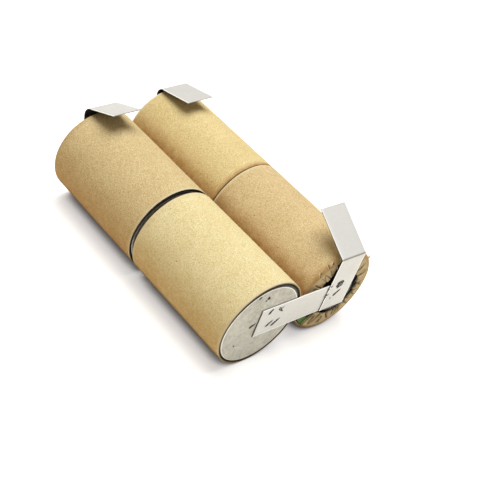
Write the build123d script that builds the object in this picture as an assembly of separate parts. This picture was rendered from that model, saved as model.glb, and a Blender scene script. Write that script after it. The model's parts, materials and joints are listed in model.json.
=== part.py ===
from build123d import *
import os
from dataclasses import dataclass

# Four cylindrical cells in paper tubes, in two sticks of two, joined in series by welded nickel strip.
# Millimetres. +Z up, the sticks lie along Y with the cross strip at -Y, Z = 0 is the surface they lie on,
# and the origin is the middle of the pack's footprint.

# --- Steel can, a drawn cup with a bead under the gasket and a crimp over it ---
can_radius = 11.0
can_length = 31.3
can_wall = 0.35
can_floor = 0.4
can_corner_radius = 0.6
bead_depth = 0.9
crimp_width = 2.0
crimp_corner_radius = 0.45

# --- Closure: gasket, cover plate, vent plug and cap ---
gasket_wall = 0.75
gasket_lip = 0.35
gasket_lower_lip_width = 1.4
gasket_to_flange_gap = 0.6
cover_thickness = 0.6
vent_hole_radius = 0.8
cap_radius = 5.0
cap_sheet = 0.3
cap_flange_width = 2.0
cap_proud = 1.5
cap_edge_radius = 0.25
cap_vent_radius = 0.35
cap_vent_count = 3
plug_radius = 2.4
closure_fit = 0.02

# --- Winding: two plates with a separator sheet on each side, on a hollow core ---
core_radius = 1.7
negative_plate_thickness = 0.62
positive_plate_thickness = 0.75
separator_thickness = 0.17
winding_gap = 0.03
winding_to_can_gap = 0.2
plate_step = 0.4
head_space = 0.35

# --- Collectors ---
collector_thickness = 0.25
collector_inset = 1.2
collector_hole_radius = 1.6
lead_thickness = 0.2
lead_width = 3.5
lead_pad_length = 4.0
lead_run = 4.6
lead_bend_radius = 0.6

# --- Insulating washer and paper tube ---
washer_thickness = 0.25
washer_edge_inset = 0.1
washer_overhang = 0.3
tube_clearance = 0.1
tube_wall = 0.5
tube_setback = 0.05
fold_to_cap_gap = 1.8
fold_corner_radius = 0.7

# --- Sticks ---
stick_gap = 1.33
left_link_height = 0.4
right_link_height = 3.6
right_tube_tail = 2.18
right_joint_gap = 0.12
link_thickness = 0.15
link_leg = 9.0

# --- Nickel strip: cross strip and the three tabs ---
strip_thickness = 0.2
strip_width = 8.0
cross_strip_rise = 0.4
cross_strip_past_left_axis = 1.25
cross_strip_past_right_axis = 3.6
tab_below_axis = 3.6
tab_pad_above_axis = 5.2
tab_lean_radius = 3.0
crease_clearance = 0.05
mid_tab_side_shift = -0.45
mid_tab_crease_height = 0.5
mid_tab_bend_radius = 0.2
mid_tab_flag_length = 12.5
mid_tab_flag_angle = 31.3
rear_tab_crease_height = 0.4
rear_tab_bend_radius = 0.9
positive_tab_lean = 1.1
positive_tab_flag_length = 10.9
positive_tab_flag_angle = 23.7
negative_tab_lean = 1.05
negative_tab_flag_length = 11.8
negative_tab_flag_angle = 13.7

# --- Radii and heights that follow from the sizes above; heights are along the cell, from its floor ---
can_inner_radius = can_radius - can_wall
crimp_inner_radius = can_radius - crimp_width
crimp_underside = can_length - can_wall
cover_top = crimp_underside - gasket_lip
cover_underside = cover_top - cover_thickness
gasket_underside = cover_underside - gasket_lip
bead_inner_reach = ((bead_depth + can_wall) ** 2 - can_wall**2) ** 0.5
bead_height = gasket_underside - bead_inner_reach
positive_collector_top = bead_height - bead_inner_reach - head_space
winding_top = positive_collector_top - collector_thickness
winding_floor = can_floor + collector_thickness
cover_radius = can_inner_radius - gasket_wall
collector_radius = can_inner_radius - collector_inset
cap_flange_radius = cap_radius + cap_flange_width
cell_height = can_length + cap_proud
tube_inner_radius = can_radius + tube_clearance
tube_radius = tube_inner_radius + tube_wall
fold_inner_radius = cap_radius + fold_to_cap_gap
fold_plane = can_length + washer_thickness + tube_wall
winding_pitch = (
    negative_plate_thickness
    + positive_plate_thickness
    + 2 * separator_thickness
    + 4 * winding_gap
)

# --- Places in the pack, from the front terminal plane at Y = 0 before the origin is centred ---
axis_x = tube_radius + stick_gap / 2
axis_z = tube_radius
right_tube_nose = right_link_height + cell_height - fold_plane - right_tube_tail - right_joint_gap
left_rear_bottom_y = cell_height + left_link_height
right_rear_bottom_y = 2 * cell_height + right_link_height
positive_face_y = left_rear_bottom_y + cell_height
tube_top_z = 2 * tube_radius


@dataclass(frozen=True)
class Cell:
    """A cell's place: its stick's x, its floor's y, and how far its tube passes its floor and its fold."""

    name: str
    x: float
    bottom_y: float
    cap_forward: bool
    tube_tail: float
    tube_nose: float


@dataclass(frozen=True)
class Tab:
    """A bent tab: its foot stands on a terminal face and its flag turns about the crease."""

    name: str
    x: float
    face_y: float
    at_front: bool
    stand_off: float
    lean: float
    crease_z: float
    bend_radius: float
    flag_length: float
    flag_angle: float


CELLS = [
    Cell("front_left", -axis_x, 0.0, False, -tube_setback, 0.0),
    Cell("rear_left", -axis_x, left_rear_bottom_y, False, -tube_setback, 0.0),
    Cell("front_right", axis_x, cell_height, True, right_tube_tail, 0.0),
    Cell("rear_right", axis_x, right_rear_bottom_y, True, -tube_setback, right_tube_nose),
]

TABS = [
    Tab(
        "mid_tab",
        axis_x + mid_tab_side_shift,
        0.0,
        True,
        strip_thickness,
        0.0,
        tube_top_z + mid_tab_crease_height,
        mid_tab_bend_radius,
        mid_tab_flag_length,
        mid_tab_flag_angle,
    ),
    Tab(
        "positive_tab",
        -axis_x,
        positive_face_y,
        False,
        0.0,
        positive_tab_lean,
        tube_top_z + rear_tab_crease_height,
        rear_tab_bend_radius,
        positive_tab_flag_length,
        positive_tab_flag_angle,
    ),
    Tab(
        "negative_tab",
        axis_x,
        right_rear_bottom_y,
        False,
        0.0,
        negative_tab_lean,
        tube_top_z + rear_tab_crease_height,
        rear_tab_bend_radius,
        negative_tab_flag_length,
        negative_tab_flag_angle,
    ),
]


def turned(*lines):
    """A solid of revolution about Z, from lines in (radius, height) that close a face."""
    return revolve(Plane.XZ * make_face(Curve() + list(lines)), Axis.Z, 360)


def turned_polygon(*points):
    return turned(Polyline(*points, close=True))


def disc(radius, low, high):
    return Pos(0, 0, low) * Cylinder(radius, high - low, align=(Align.CENTER, Align.CENTER, Align.MIN))


def ring(inner, outer, low, high):
    return disc(outer, low, high) - disc(inner, low, high)


def can():
    """The can's wall follows a half-round bead, then turns in over the gasket as the crimp."""
    corner = can_corner_radius
    crimp = crimp_corner_radius
    reach = bead_inner_reach
    return turned(
        Line((0, 0), (can_radius - corner, 0)),
        CenterArc((can_radius - corner, corner), corner, -90, 90),
        Line((can_radius, corner), (can_radius, bead_height - bead_depth)),
        ThreePointArc(
            (can_radius, bead_height - bead_depth),
            (can_radius - bead_depth, bead_height),
            (can_radius, bead_height + bead_depth),
        ),
        Line((can_radius, bead_height + bead_depth), (can_radius, can_length - crimp)),
        CenterArc((can_radius - crimp, can_length - crimp), crimp, 0, 90),
        Polyline(
            (can_radius - crimp, can_length),
            (crimp_inner_radius, can_length),
            (crimp_inner_radius, crimp_underside),
            (can_inner_radius, crimp_underside),
            (can_inner_radius, bead_height + reach),
        ),
        ThreePointArc(
            (can_inner_radius, bead_height + reach),
            (can_inner_radius - bead_depth, bead_height),
            (can_inner_radius, bead_height - reach),
        ),
        Polyline((can_inner_radius, bead_height - reach), (can_inner_radius, can_floor), (0, can_floor), (0, 0)),
    )


def gasket():
    """A channel ring: a broad lip under the crimp, a wall at the can and a lip on the bead."""
    outer = can_inner_radius - closure_fit
    lip_inner = cap_flange_radius + gasket_to_flange_gap
    lower_inner = can_inner_radius - gasket_lower_lip_width
    return turned_polygon(
        (lip_inner, cover_top),
        (lip_inner, crimp_underside),
        (outer, crimp_underside),
        (outer, gasket_underside),
        (lower_inner, gasket_underside),
        (lower_inner, cover_underside),
        (cover_radius, cover_underside),
        (cover_radius, cover_top),
    )


def cover_plate():
    return ring(vent_hole_radius, cover_radius - closure_fit, cover_underside, cover_top)


def vent_plug():
    return disc(plug_radius, cover_top, cell_height - cap_sheet)


def cap():
    """The terminal button, with a flange on the cover plate and vent holes round its side."""
    inner = cap_radius - cap_sheet
    body = turned_polygon(
        (inner, cover_top),
        (cap_flange_radius, cover_top),
        (cap_flange_radius, cover_top + cap_sheet),
        (cap_radius, cover_top + cap_sheet),
        (cap_radius, cell_height),
        (0, cell_height),
        (0, cell_height - cap_sheet),
        (inner, cell_height - cap_sheet),
    )
    top_edge = body.edges().filter_by(GeomType.CIRCLE).sort_by(Axis.Z)[-1]
    body = fillet(top_edge, cap_edge_radius)
    vent_height = (cover_top + cell_height) / 2
    drill = Pos(inner, 0, vent_height) * Rot(Y=90) * Cylinder(cap_vent_radius, 4 * cap_sheet)
    for vent in PolarLocations(0, cap_vent_count):
        body -= vent * drill
    return body


def washer():
    """Insulating ring on the crimp, under the folded paper."""
    return ring(
        crimp_inner_radius - washer_overhang,
        can_radius - washer_edge_inset,
        can_length,
        can_length + washer_thickness,
    )


def paper_tube(tail, nose):
    """The tube round the can, folded in over the cap end; tail and nose lengthen its two ends."""
    low = -tail
    high = fold_plane + nose
    corner = fold_corner_radius
    return turned(
        Polyline(
            (tube_radius - corner, high),
            (fold_inner_radius, high),
            (fold_inner_radius, high - tube_wall),
            (tube_inner_radius, high - tube_wall),
            (tube_inner_radius, low),
            (tube_radius, low),
            (tube_radius, high - corner),
        ),
        CenterArc((tube_radius - corner, high - corner), corner, 0, 90),
    )


def spiral_edge(radius, half_turns):
    """A spiral of half circles whose centres swap sides, growing by one winding pitch a turn."""
    arcs = []
    for index in range(half_turns):
        side = -1 if index % 2 == 0 else 1
        centre = (side * winding_pitch / 4, 0)
        start = 180 * (index % 2)
        arcs.append(CenterArc(centre, radius + index * winding_pitch / 2, start, 180))
    return arcs


def wound_sheet(offset, thickness, low, high):
    """One sheet of the winding, lying offset outside the core."""
    room = can_inner_radius - winding_to_can_gap - core_radius - winding_pitch - winding_pitch / 4
    half_turns = int(room / (winding_pitch / 2)) + 1
    inner = spiral_edge(core_radius + offset, half_turns)
    outer = spiral_edge(core_radius + offset + thickness, half_turns)
    first = Line(inner[0] @ 0, outer[0] @ 0)
    last = Line(inner[-1] @ 1, outer[-1] @ 1)
    face = make_face(Curve() + inner + outer + [first, last])
    return Pos(0, 0, low) * extrude(face, high - low)


def winding():
    """The plates and separators, each step of the stack outside the one before."""
    offset = winding_gap
    first_separator = wound_sheet(
        offset, separator_thickness, winding_floor + plate_step, winding_top - plate_step
    )
    offset += separator_thickness + winding_gap
    positive = wound_sheet(offset, positive_plate_thickness, winding_floor + 2 * plate_step, winding_top)
    offset += positive_plate_thickness + winding_gap
    second_separator = wound_sheet(
        offset, separator_thickness, winding_floor + plate_step, winding_top - plate_step
    )
    offset += separator_thickness + winding_gap
    negative = wound_sheet(
        offset, negative_plate_thickness, winding_floor, winding_top - 2 * plate_step
    )
    return {
        "separator": Compound([first_separator.solid(), second_separator.solid()]),
        "positive_plate": positive,
        "negative_plate": negative,
    }


def negative_collector():
    """Disc welded to the can's floor, under the negative plate's edge."""
    return ring(collector_hole_radius, collector_radius, can_floor, winding_floor)


def positive_collector():
    """Disc on the positive plate's edge, with a lead bent up to the cover plate."""
    plate = ring(collector_hole_radius, collector_radius, winding_top, positive_collector_top)
    low = positive_collector_top + lead_thickness / 2
    high = cover_underside - lead_thickness / 2
    start = collector_hole_radius + lead_pad_length
    path = FilletPolyline(
        (start, low),
        (start - lead_pad_length, low),
        (start - lead_pad_length - lead_run, high),
        (start - 2 * lead_pad_length - lead_run, high),
        radius=lead_bend_radius,
    )
    return plate + Plane.XZ * strip_solid(path, lead_thickness, lead_width)


def strip_solid(path, thickness, width):
    """Sheet of one thickness along a flat path, with its cut ends rounded, centred on the path's plane."""
    outline = Wire(path.edges()).offset_2d(thickness / 2, side=Side.BOTH, closed=True)
    return extrude(make_face(outline.edges()), width / 2, both=True)


def place_cell(cell):
    """Where a cell lies: its own +Z becomes -Y if its cap is forward, and otherwise +Y."""
    turn = 90 if cell.cap_forward else -90
    return Pos(cell.x, cell.bottom_y, axis_z) * Rot(X=turn)


def cell_pieces(cell):
    """Every piece of one cell, in the pack."""
    pieces = {
        "can": can(),
        "negative_collector": negative_collector(),
        "positive_collector": positive_collector(),
        "gasket": gasket(),
        "cover_plate": cover_plate(),
        "vent_plug": vent_plug(),
        "cap": cap(),
        "washer": washer(),
        "paper_tube": paper_tube(cell.tube_tail, cell.tube_nose),
    }
    pieces.update(winding())
    place = place_cell(cell)
    return {f"{cell.name}_{name}": place * shape for name, shape in pieces.items()}


def side_plane(x, y, outward):
    """Plane across a strip: its own x runs outward along Y (+1 or -1) and its own y is up."""
    return Plane(origin=(x, y, 0), x_dir=(0, outward, 0), z_dir=(outward, 0, 0))


def inline_link(x, bottom_y, height):
    """Strip folded in a U between a can's floor and the next cap."""
    radius = (height - link_thickness) / 2
    near = link_thickness / 2
    far = height - link_thickness / 2
    low = axis_z - link_leg / 2
    high = axis_z + link_leg / 2 - link_thickness / 2 - radius
    path = Curve() + [
        Line((near, low), (near, high)),
        ThreePointArc((near, high), ((near + far) / 2, high + radius), (far, high)),
        Line((far, high), (far, low)),
    ]
    return side_plane(x, bottom_y, 1) * strip_solid(path, link_thickness, strip_width)


def cross_strip():
    """Flat strip over the front terminals of both sticks."""
    left = -axis_x - cross_strip_past_left_axis
    right = axis_x + cross_strip_past_right_axis
    height = axis_z + cross_strip_rise
    box = Box(right - left, strip_thickness, strip_width)
    return Pos((left + right) / 2, -strip_thickness / 2, height) * box


def tab_path(tab):
    """A tab's middle line in (distance out of the terminal face, height): pad, lean, bend and flag."""
    pad = tab.stand_off + strip_thickness / 2
    foot_low = axis_z - tab_below_axis + strip_thickness / 2
    flag = Vector(tab.flag_length, 0).rotate(Axis.Z, 180 - tab.flag_angle)
    corner = Vector(pad + tab.lean, tab.crease_z)
    points = [Vector(pad, foot_low), corner, corner + flag]
    radii = [tab.bend_radius]
    if tab.lean > 0:
        points.insert(1, Vector(pad, axis_z + tab_pad_above_axis))
        radii.insert(0, tab_lean_radius)
    return Wire(FilletPolyline(*points, radius=radii).edges())


def crease_length(path):
    """How far along a tab's path its crease lies: the middle of the last bend."""
    edges = path.edges().sort_by(path)
    return path.length - edges[-1].length - edges[-2].length / 2


def tab_plane(tab):
    return side_plane(tab.x, tab.face_y, -1 if tab.at_front else 1)


def crease_point(tab):
    """The hinge line's middle, in the pack before it is centred."""
    path = tab_path(tab)
    point = path.position_at(crease_length(path), position_mode=PositionMode.LENGTH)
    return tab_plane(tab).from_local_coords(point)


def tab_pieces(tab):
    """The foot stops just short of the crease, where the flag's rounded edge lies on the hinge line."""
    path = tab_path(tab)
    crease = crease_length(path) / path.length
    foot_end = crease - (strip_thickness + crease_clearance) / path.length
    plane = tab_plane(tab)
    foot = strip_solid(path.trim(0, foot_end), strip_thickness, strip_width)
    flag = strip_solid(path.trim(crease, 1), strip_thickness, strip_width)
    return {f"{tab.name}_foot": plane * foot, f"{tab.name}_flag": plane * flag}


def pack_pieces():
    """Every node of the pack, by name, before the origin is centred."""
    pieces = {}
    for cell in CELLS:
        pieces.update(cell_pieces(cell))
    for tab in TABS:
        pieces.update(tab_pieces(tab))
    pieces["cross_strip"] = cross_strip()
    pieces["left_inline_link"] = inline_link(-axis_x, cell_height, left_link_height)
    pieces["right_inline_link"] = inline_link(axis_x, cell_height, right_link_height)
    return pieces


def middle_y(pieces):
    """Y of the middle of the pack's box."""
    boxes = [shape.bounding_box() for shape in pieces.values()]
    return (min(box.min.Y for box in boxes) + max(box.max.Y for box in boxes)) / 2


pack = pack_pieces()
centre_y = middle_y(pack)
os.makedirs("parts", exist_ok=True)
for node, shape in pack.items():
    export_step(Pos(0, -centre_y, 0) * shape, f"parts/{node}.step")
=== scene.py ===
"""Dressed model of a four-cell battery pack: pleated paper tubes, steel cans, welded strip and a studio."""

import json
import logging
import math
from dataclasses import dataclass
from enum import Enum
from functools import reduce
from typing import Any, Callable, Mapping, Sequence, Union

import bpy
import numpy as np
from mathutils import Matrix, Vector


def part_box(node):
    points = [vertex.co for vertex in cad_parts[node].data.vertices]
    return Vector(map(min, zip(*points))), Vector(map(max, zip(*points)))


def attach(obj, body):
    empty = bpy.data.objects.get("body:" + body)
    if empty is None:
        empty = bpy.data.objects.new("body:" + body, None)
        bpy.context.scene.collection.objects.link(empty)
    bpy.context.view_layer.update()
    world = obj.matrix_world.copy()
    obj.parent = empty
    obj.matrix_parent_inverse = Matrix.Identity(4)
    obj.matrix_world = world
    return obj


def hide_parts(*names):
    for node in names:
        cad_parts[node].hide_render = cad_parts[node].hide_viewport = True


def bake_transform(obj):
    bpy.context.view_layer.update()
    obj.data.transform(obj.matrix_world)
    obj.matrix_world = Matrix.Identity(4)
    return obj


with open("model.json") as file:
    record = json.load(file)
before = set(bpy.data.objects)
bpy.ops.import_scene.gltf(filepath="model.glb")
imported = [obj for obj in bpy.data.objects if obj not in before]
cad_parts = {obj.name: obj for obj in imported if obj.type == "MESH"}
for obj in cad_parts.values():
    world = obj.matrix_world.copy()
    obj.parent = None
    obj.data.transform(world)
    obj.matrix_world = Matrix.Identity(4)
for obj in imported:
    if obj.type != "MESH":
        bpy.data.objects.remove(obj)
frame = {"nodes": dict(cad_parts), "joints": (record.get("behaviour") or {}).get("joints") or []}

LOG = logging.getLogger("battery_pack")
MM = 0.001
TURN = 2 * math.pi

# Distance of a row's axis from the pack's middle plane and from the ground, in mm.
CELL_AXIS = (12.265, 11.6)

Colour = tuple[float, float, float, float]
Array = np.ndarray


def srgb(red: float, green: float, blue: float) -> Colour:
    """Turns a display colour into the linear colour that shaders take.

    Args:
        red: Red, 0 to 255.
        green: Green, 0 to 255.
        blue: Blue, 0 to 255.

    Returns:
        Linear red, green, blue and an alpha of 1.
    """

    def linear(value: float) -> float:
        """One channel, by the sRGB curve."""
        share = value / 255
        return share / 12.92 if share <= 0.04045 else ((share + 0.055) / 1.055) ** 2.4

    return linear(red), linear(green), linear(blue), 1.0


# --- Shader graphs ---


def operator(operation: str, swapped: bool = False) -> Callable[..., "Value"]:
    """Makes a method of Value that adds a Math node.

    Args:
        operation: The node's operation.
        swapped: Whether the other number comes first.

    Returns:
        The method.
    """

    def method(value: "Value", other: "Number" = 0.0) -> "Value":
        """Adds the node and gives its result."""
        first, second = (other, value) if swapped else (value, other)
        return Value(value.graph, value.graph.math(operation, first, second))

    return method


class Value:
    """A number that varies over a surface: a node socket on which Python's operators add Math nodes."""

    def __init__(self, graph: "NodeTree", socket: bpy.types.NodeSocket) -> None:
        """Keeps the graph and the socket that the number comes from."""
        self.graph = graph
        self.socket = socket

    __add__ = operator("ADD")
    __radd__ = operator("ADD", swapped=True)
    __sub__ = operator("SUBTRACT")
    __rsub__ = operator("SUBTRACT", swapped=True)
    __mul__ = operator("MULTIPLY")
    __rmul__ = operator("MULTIPLY", swapped=True)
    __pow__ = operator("POWER")
    __abs__ = operator("ABSOLUTE")
    at_least = operator("MAXIMUM")

    def step(self, low: float, high: float) -> "Value":
        """A smooth step from 0 at low to 1 at high; low may be above high."""
        node = self.graph.node(
            "ShaderNodeMapRange",
            {"interpolation_type": "SMOOTHSTEP"},
            {"Value": self, "From Min": low, "From Max": high},
        )
        return Value(self.graph, node.outputs["Result"])


Number = Union[Value, float]
Paint = Union[bpy.types.NodeSocket, Colour]


class NodeTree:
    """A node tree of any kind, to which nodes are added."""

    def __init__(self, tree: bpy.types.NodeTree) -> None:
        """Keeps the tree and empties it."""
        self.tree = tree
        self.tree.nodes.clear()

    def plug(self, socket: bpy.types.NodeSocket, value: Any) -> None:
        """Links a node's input to a value or a link, or sets it to a number, a colour or a name."""
        if isinstance(value, Value):
            value = value.socket
        if isinstance(value, bpy.types.NodeSocket):
            self.tree.links.new(value, socket)
        else:
            socket.default_value = value

    def node(
        self,
        kind: str,
        settings: Mapping[str, Any] | None = None,
        inputs: Mapping[Union[int, str], Any] | None = None,
    ) -> bpy.types.Node:
        """Adds any node.

        Args:
            kind: The node's type.
            settings: Its properties, set first.
            inputs: Its sockets by name or index: numbers, colours, values or links.

        Returns:
            The node.
        """
        made = self.tree.nodes.new(kind)
        for name, value in (settings or {}).items():
            setattr(made, name, value)
        for key, value in (inputs or {}).items():
            self.plug(made.inputs[key], value)
        return made

    def math(self, operation: str, *values: Any) -> bpy.types.NodeSocket:
        """A Math node's result, from its numbers, values or links."""
        return self.node("ShaderNodeMath", {"operation": operation}, dict(enumerate(values))).outputs[0]

    def stretched(self, vector: Any, factor: Any) -> bpy.types.NodeSocket:
        """A vector or a colour, multiplied by a number."""
        inputs = {0: vector, "Scale": factor}
        return self.node("ShaderNodeVectorMath", {"operation": "SCALE"}, inputs).outputs[0]

    def seen(self) -> Value:
        """1 for rays from the camera, off metal or through glass, and 0 for light on its way to paper."""
        rays = self.node("ShaderNodeLightPath").outputs
        seen = rays["Is Camera Ray"]
        for kind in ("Is Glossy Ray", "Is Transmission Ray"):
            seen = self.math("MAXIMUM", seen, rays[kind])
        return Value(self, seen)


class Graph(NodeTree):
    """A material's node tree, with a Principled shader that the finishes feed."""

    def __init__(self, name: str) -> None:
        """Makes the material and its shader.

        Args:
            name: The material's name.
        """
        self.material = bpy.data.materials.new(name)
        self.material.use_nodes = True
        super().__init__(self.material.node_tree)
        self.shader = self.node("ShaderNodeBsdfPrincipled")
        self.node("ShaderNodeOutputMaterial", {}, {"Surface": self.shader.outputs[0]})
        self.place = self.node("ShaderNodeTexCoord").outputs["Object"]

    def scaled(self, stretch: tuple[float, float, float]) -> bpy.types.NodeSocket:
        """Object coordinates, multiplied by a factor along each axis."""
        return self.node("ShaderNodeMapping", {}, {"Vector": self.place, "Scale": stretch}).outputs[0]

    def noise(
        self,
        size: float,
        detail: float = 2.0,
        roughness: float = 0.5,
        stretch: tuple[float, float, float] = (1.0, 1.0, 1.0),
        seed: float = 0.0,
    ) -> Value:
        """Soft noise, from about -0.5 to 0.5.

        Args:
            size: Size of its blobs, in mm.
            detail: Octaves.
            roughness: How much the finer octaves count.
            stretch: Factor along each axis; under 1 makes the blobs long.
            seed: Which noise.

        Returns:
            The noise.
        """
        node = self.node(
            "ShaderNodeTexNoise",
            {"noise_dimensions": "4D"},
            {
                "Vector": self.scaled(stretch),
                "W": seed,
                "Scale": 1 / (size * MM),
                "Detail": detail,
                "Roughness": roughness,
            },
        )
        return Value(self, node.outputs[0]) - 0.5

    def specks(self, spacing: float, radius: float, seed: float = 0.0) -> Value:
        """Scattered round specks, 1 at each one's middle.

        Args:
            spacing: Distance from one to the next, in mm.
            radius: A speck's radius, as a share of the spacing.
            seed: Shifts the pattern.

        Returns:
            The specks.
        """
        shift = {0: self.place, 1: (seed, seed, seed)}
        offset = self.node("ShaderNodeVectorMath", {"operation": "ADD"}, shift)
        node = self.node(
            "ShaderNodeTexVoronoi",
            {"voronoi_dimensions": "3D"},
            {"Vector": offset.outputs[0], "Scale": 1 / (spacing * MM), "Randomness": 1.0},
        )
        return Value(self, node.outputs["Distance"]).step(radius, radius * 0.4)

    def coordinate(self, axis: str) -> Value:
        """The place along X, Y or Z, in metres."""
        return Value(self, self.node("ShaderNodeSeparateXYZ", {}, {"Vector": self.place}).outputs[axis])

    def attribute(self, name: str) -> Value:
        """A number that the mesh carries at each point."""
        return Value(self, self.node("ShaderNodeAttribute", {"attribute_name": name}).outputs["Fac"])

    def mix(self, share: Number, first: Paint, second: Paint, blend: str = "MIX") -> bpy.types.NodeSocket:
        """Mixes two colours.

        Args:
            share: How much of the second.
            first: A colour or a link.
            second: A colour or a link.
            blend: How they mix.

        Returns:
            The mixed colour.
        """
        node = self.node(
            "ShaderNodeMix",
            {"data_type": "RGBA", "blend_type": blend, "clamp_factor": True},
            {0: share, 6: first, 7: second},
        )
        return node.outputs[2]

    def shade(self, colour: Paint, factor: Value) -> bpy.types.NodeSocket:
        """A colour or a link, multiplied by a number."""
        return self.stretched(colour if isinstance(colour, bpy.types.NodeSocket) else colour[:3], factor)

    def feed(self, **sockets: Any) -> None:
        """Sets or links the shader's sockets, with _ for a space."""
        for name, value in sockets.items():
            self.plug(self.shader.inputs[name.replace("_", " ")], value)

    def relief(self, height: Value, depth: float) -> None:
        """Feeds the shader's normal from a height.

        Args:
            height: The height, as a share of depth.
            depth: The relief's depth, in mm.
        """
        node = self.node("ShaderNodeBump", {}, {"Height": height, "Distance": depth * MM, "Strength": 1.0})
        self.feed(Normal=node.outputs[0])


# --- Finishes ---

# Near black for painted shade in gaps, mouths and rings and on strips' sides, ends and bends.
SHADOW_BLACK = srgb(18, 15, 14)
SCORCH = srgb(34, 30, 28)
# Brown for soil, and for painted shade in the valley between the rows and underneath.
SOIL_AND_SHADE_BROWN = srgb(190, 138, 42)
RED_FIBRE = srgb(236, 200, 170)


@dataclass(frozen=True)
class KraftPaper:
    """Brown wrapping board: short fibres, cloudy formation, flecks, worn folds and pale torn edges, with
    soil, painted shade and a painted highlight where the tube places them.
    """

    name: str
    colour: Colour
    dark: Colour
    seed: float
    pulp: Colour = srgb(240, 228, 192)
    crease: Colour = srgb(74, 46, 24)
    fold_wear: Colour = srgb(243, 231, 197)

    def build(self) -> bpy.types.Material:
        """Makes the material."""
        graph = Graph(self.name)
        cloud = graph.noise(6.5, 3, 0.55, seed=self.seed)
        blotch = graph.noise(1.4, 3, 0.6, seed=self.seed + 3)
        along = graph.noise(0.22, 3, 0.6, (1.0, 0.22, 1.0), self.seed + 5)
        around = graph.noise(0.2, 2, 0.55, (0.28, 1.0, 0.28), self.seed + 7)
        grain = graph.noise(0.11, 2, 0.6, seed=self.seed + 9)
        speckle = graph.noise(0.16, 1, 0.5, seed=self.seed + 15)
        tint = graph.noise(0.3, 1, 0.5, seed=self.seed + 17)
        patches = graph.noise(3.0, 1, seed=self.seed + 11).step(-0.02, 0.1)
        flecks = graph.specks(1.7, 0.12, self.seed) * patches
        shives = graph.noise(0.34, 1, 0.4, (0.5, 0.16, 0.5), self.seed + 13).step(0.17, 0.25)
        fibres = along * 0.55 + around * 0.5 + grain * 0.6
        share = (cloud * 0.4 + blotch * 0.3 + speckle * 2.7 + fibres * 0.8 + 0.5).at_least(0.0)
        colour = graph.mix(share, self.colour, self.dark)
        colour = graph.mix(tint.step(0.02, 0.2) * 0.3, colour, RED_FIBRE, "MULTIPLY")
        colour = graph.mix(flecks * 0.6, colour, self.crease)
        colour = graph.mix(shives * 0.35, colour, self.dark)
        fold = graph.attribute("fold")
        colour = graph.mix(fold * (0.7 + blotch * 0.9 + speckle * 0.5), colour, self.fold_wear)
        # Soil at the shoulder and a darker band at the mouth, and painted shade in the valley between the
        # rows and underneath.
        colour = graph.mix(graph.attribute("soil_and_shade") * (0.8 + blotch), colour, SOIL_AND_SHADE_BROWN, "MULTIPLY")
        # Pale pulp on cut edges, torn lips and score ridges, and a painted highlight along a fold's shoulder.
        cut = graph.attribute("cut")
        colour = graph.mix(cut * (0.85 + grain * 0.9), colour, self.pulp)
        # Dark creases, scores and slits, and the painted shadow where a tube lies on the ground.
        colour = graph.mix(graph.attribute("crease") * (0.9 + grain * 0.8), colour, self.crease)
        # Painted shade, near black: in a tube's mouth, on fold faces next to another tube, and in the gap
        # behind a strip.
        colour = graph.mix(graph.attribute("gap_shade"), colour, SHADOW_BLACK)
        graph.feed(Base_Color=colour, Roughness=0.84 + fibres * 0.12 - fold * 0.05)
        graph.feed(Specular_IOR_Level=0.18, Sheen_Weight=0.04, Sheen_Roughness=0.6)
        graph.relief(fibres * 0.75 + blotch * 0.35 + speckle * 0.6 + cut * grain, 0.05)
        return graph.material


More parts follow.
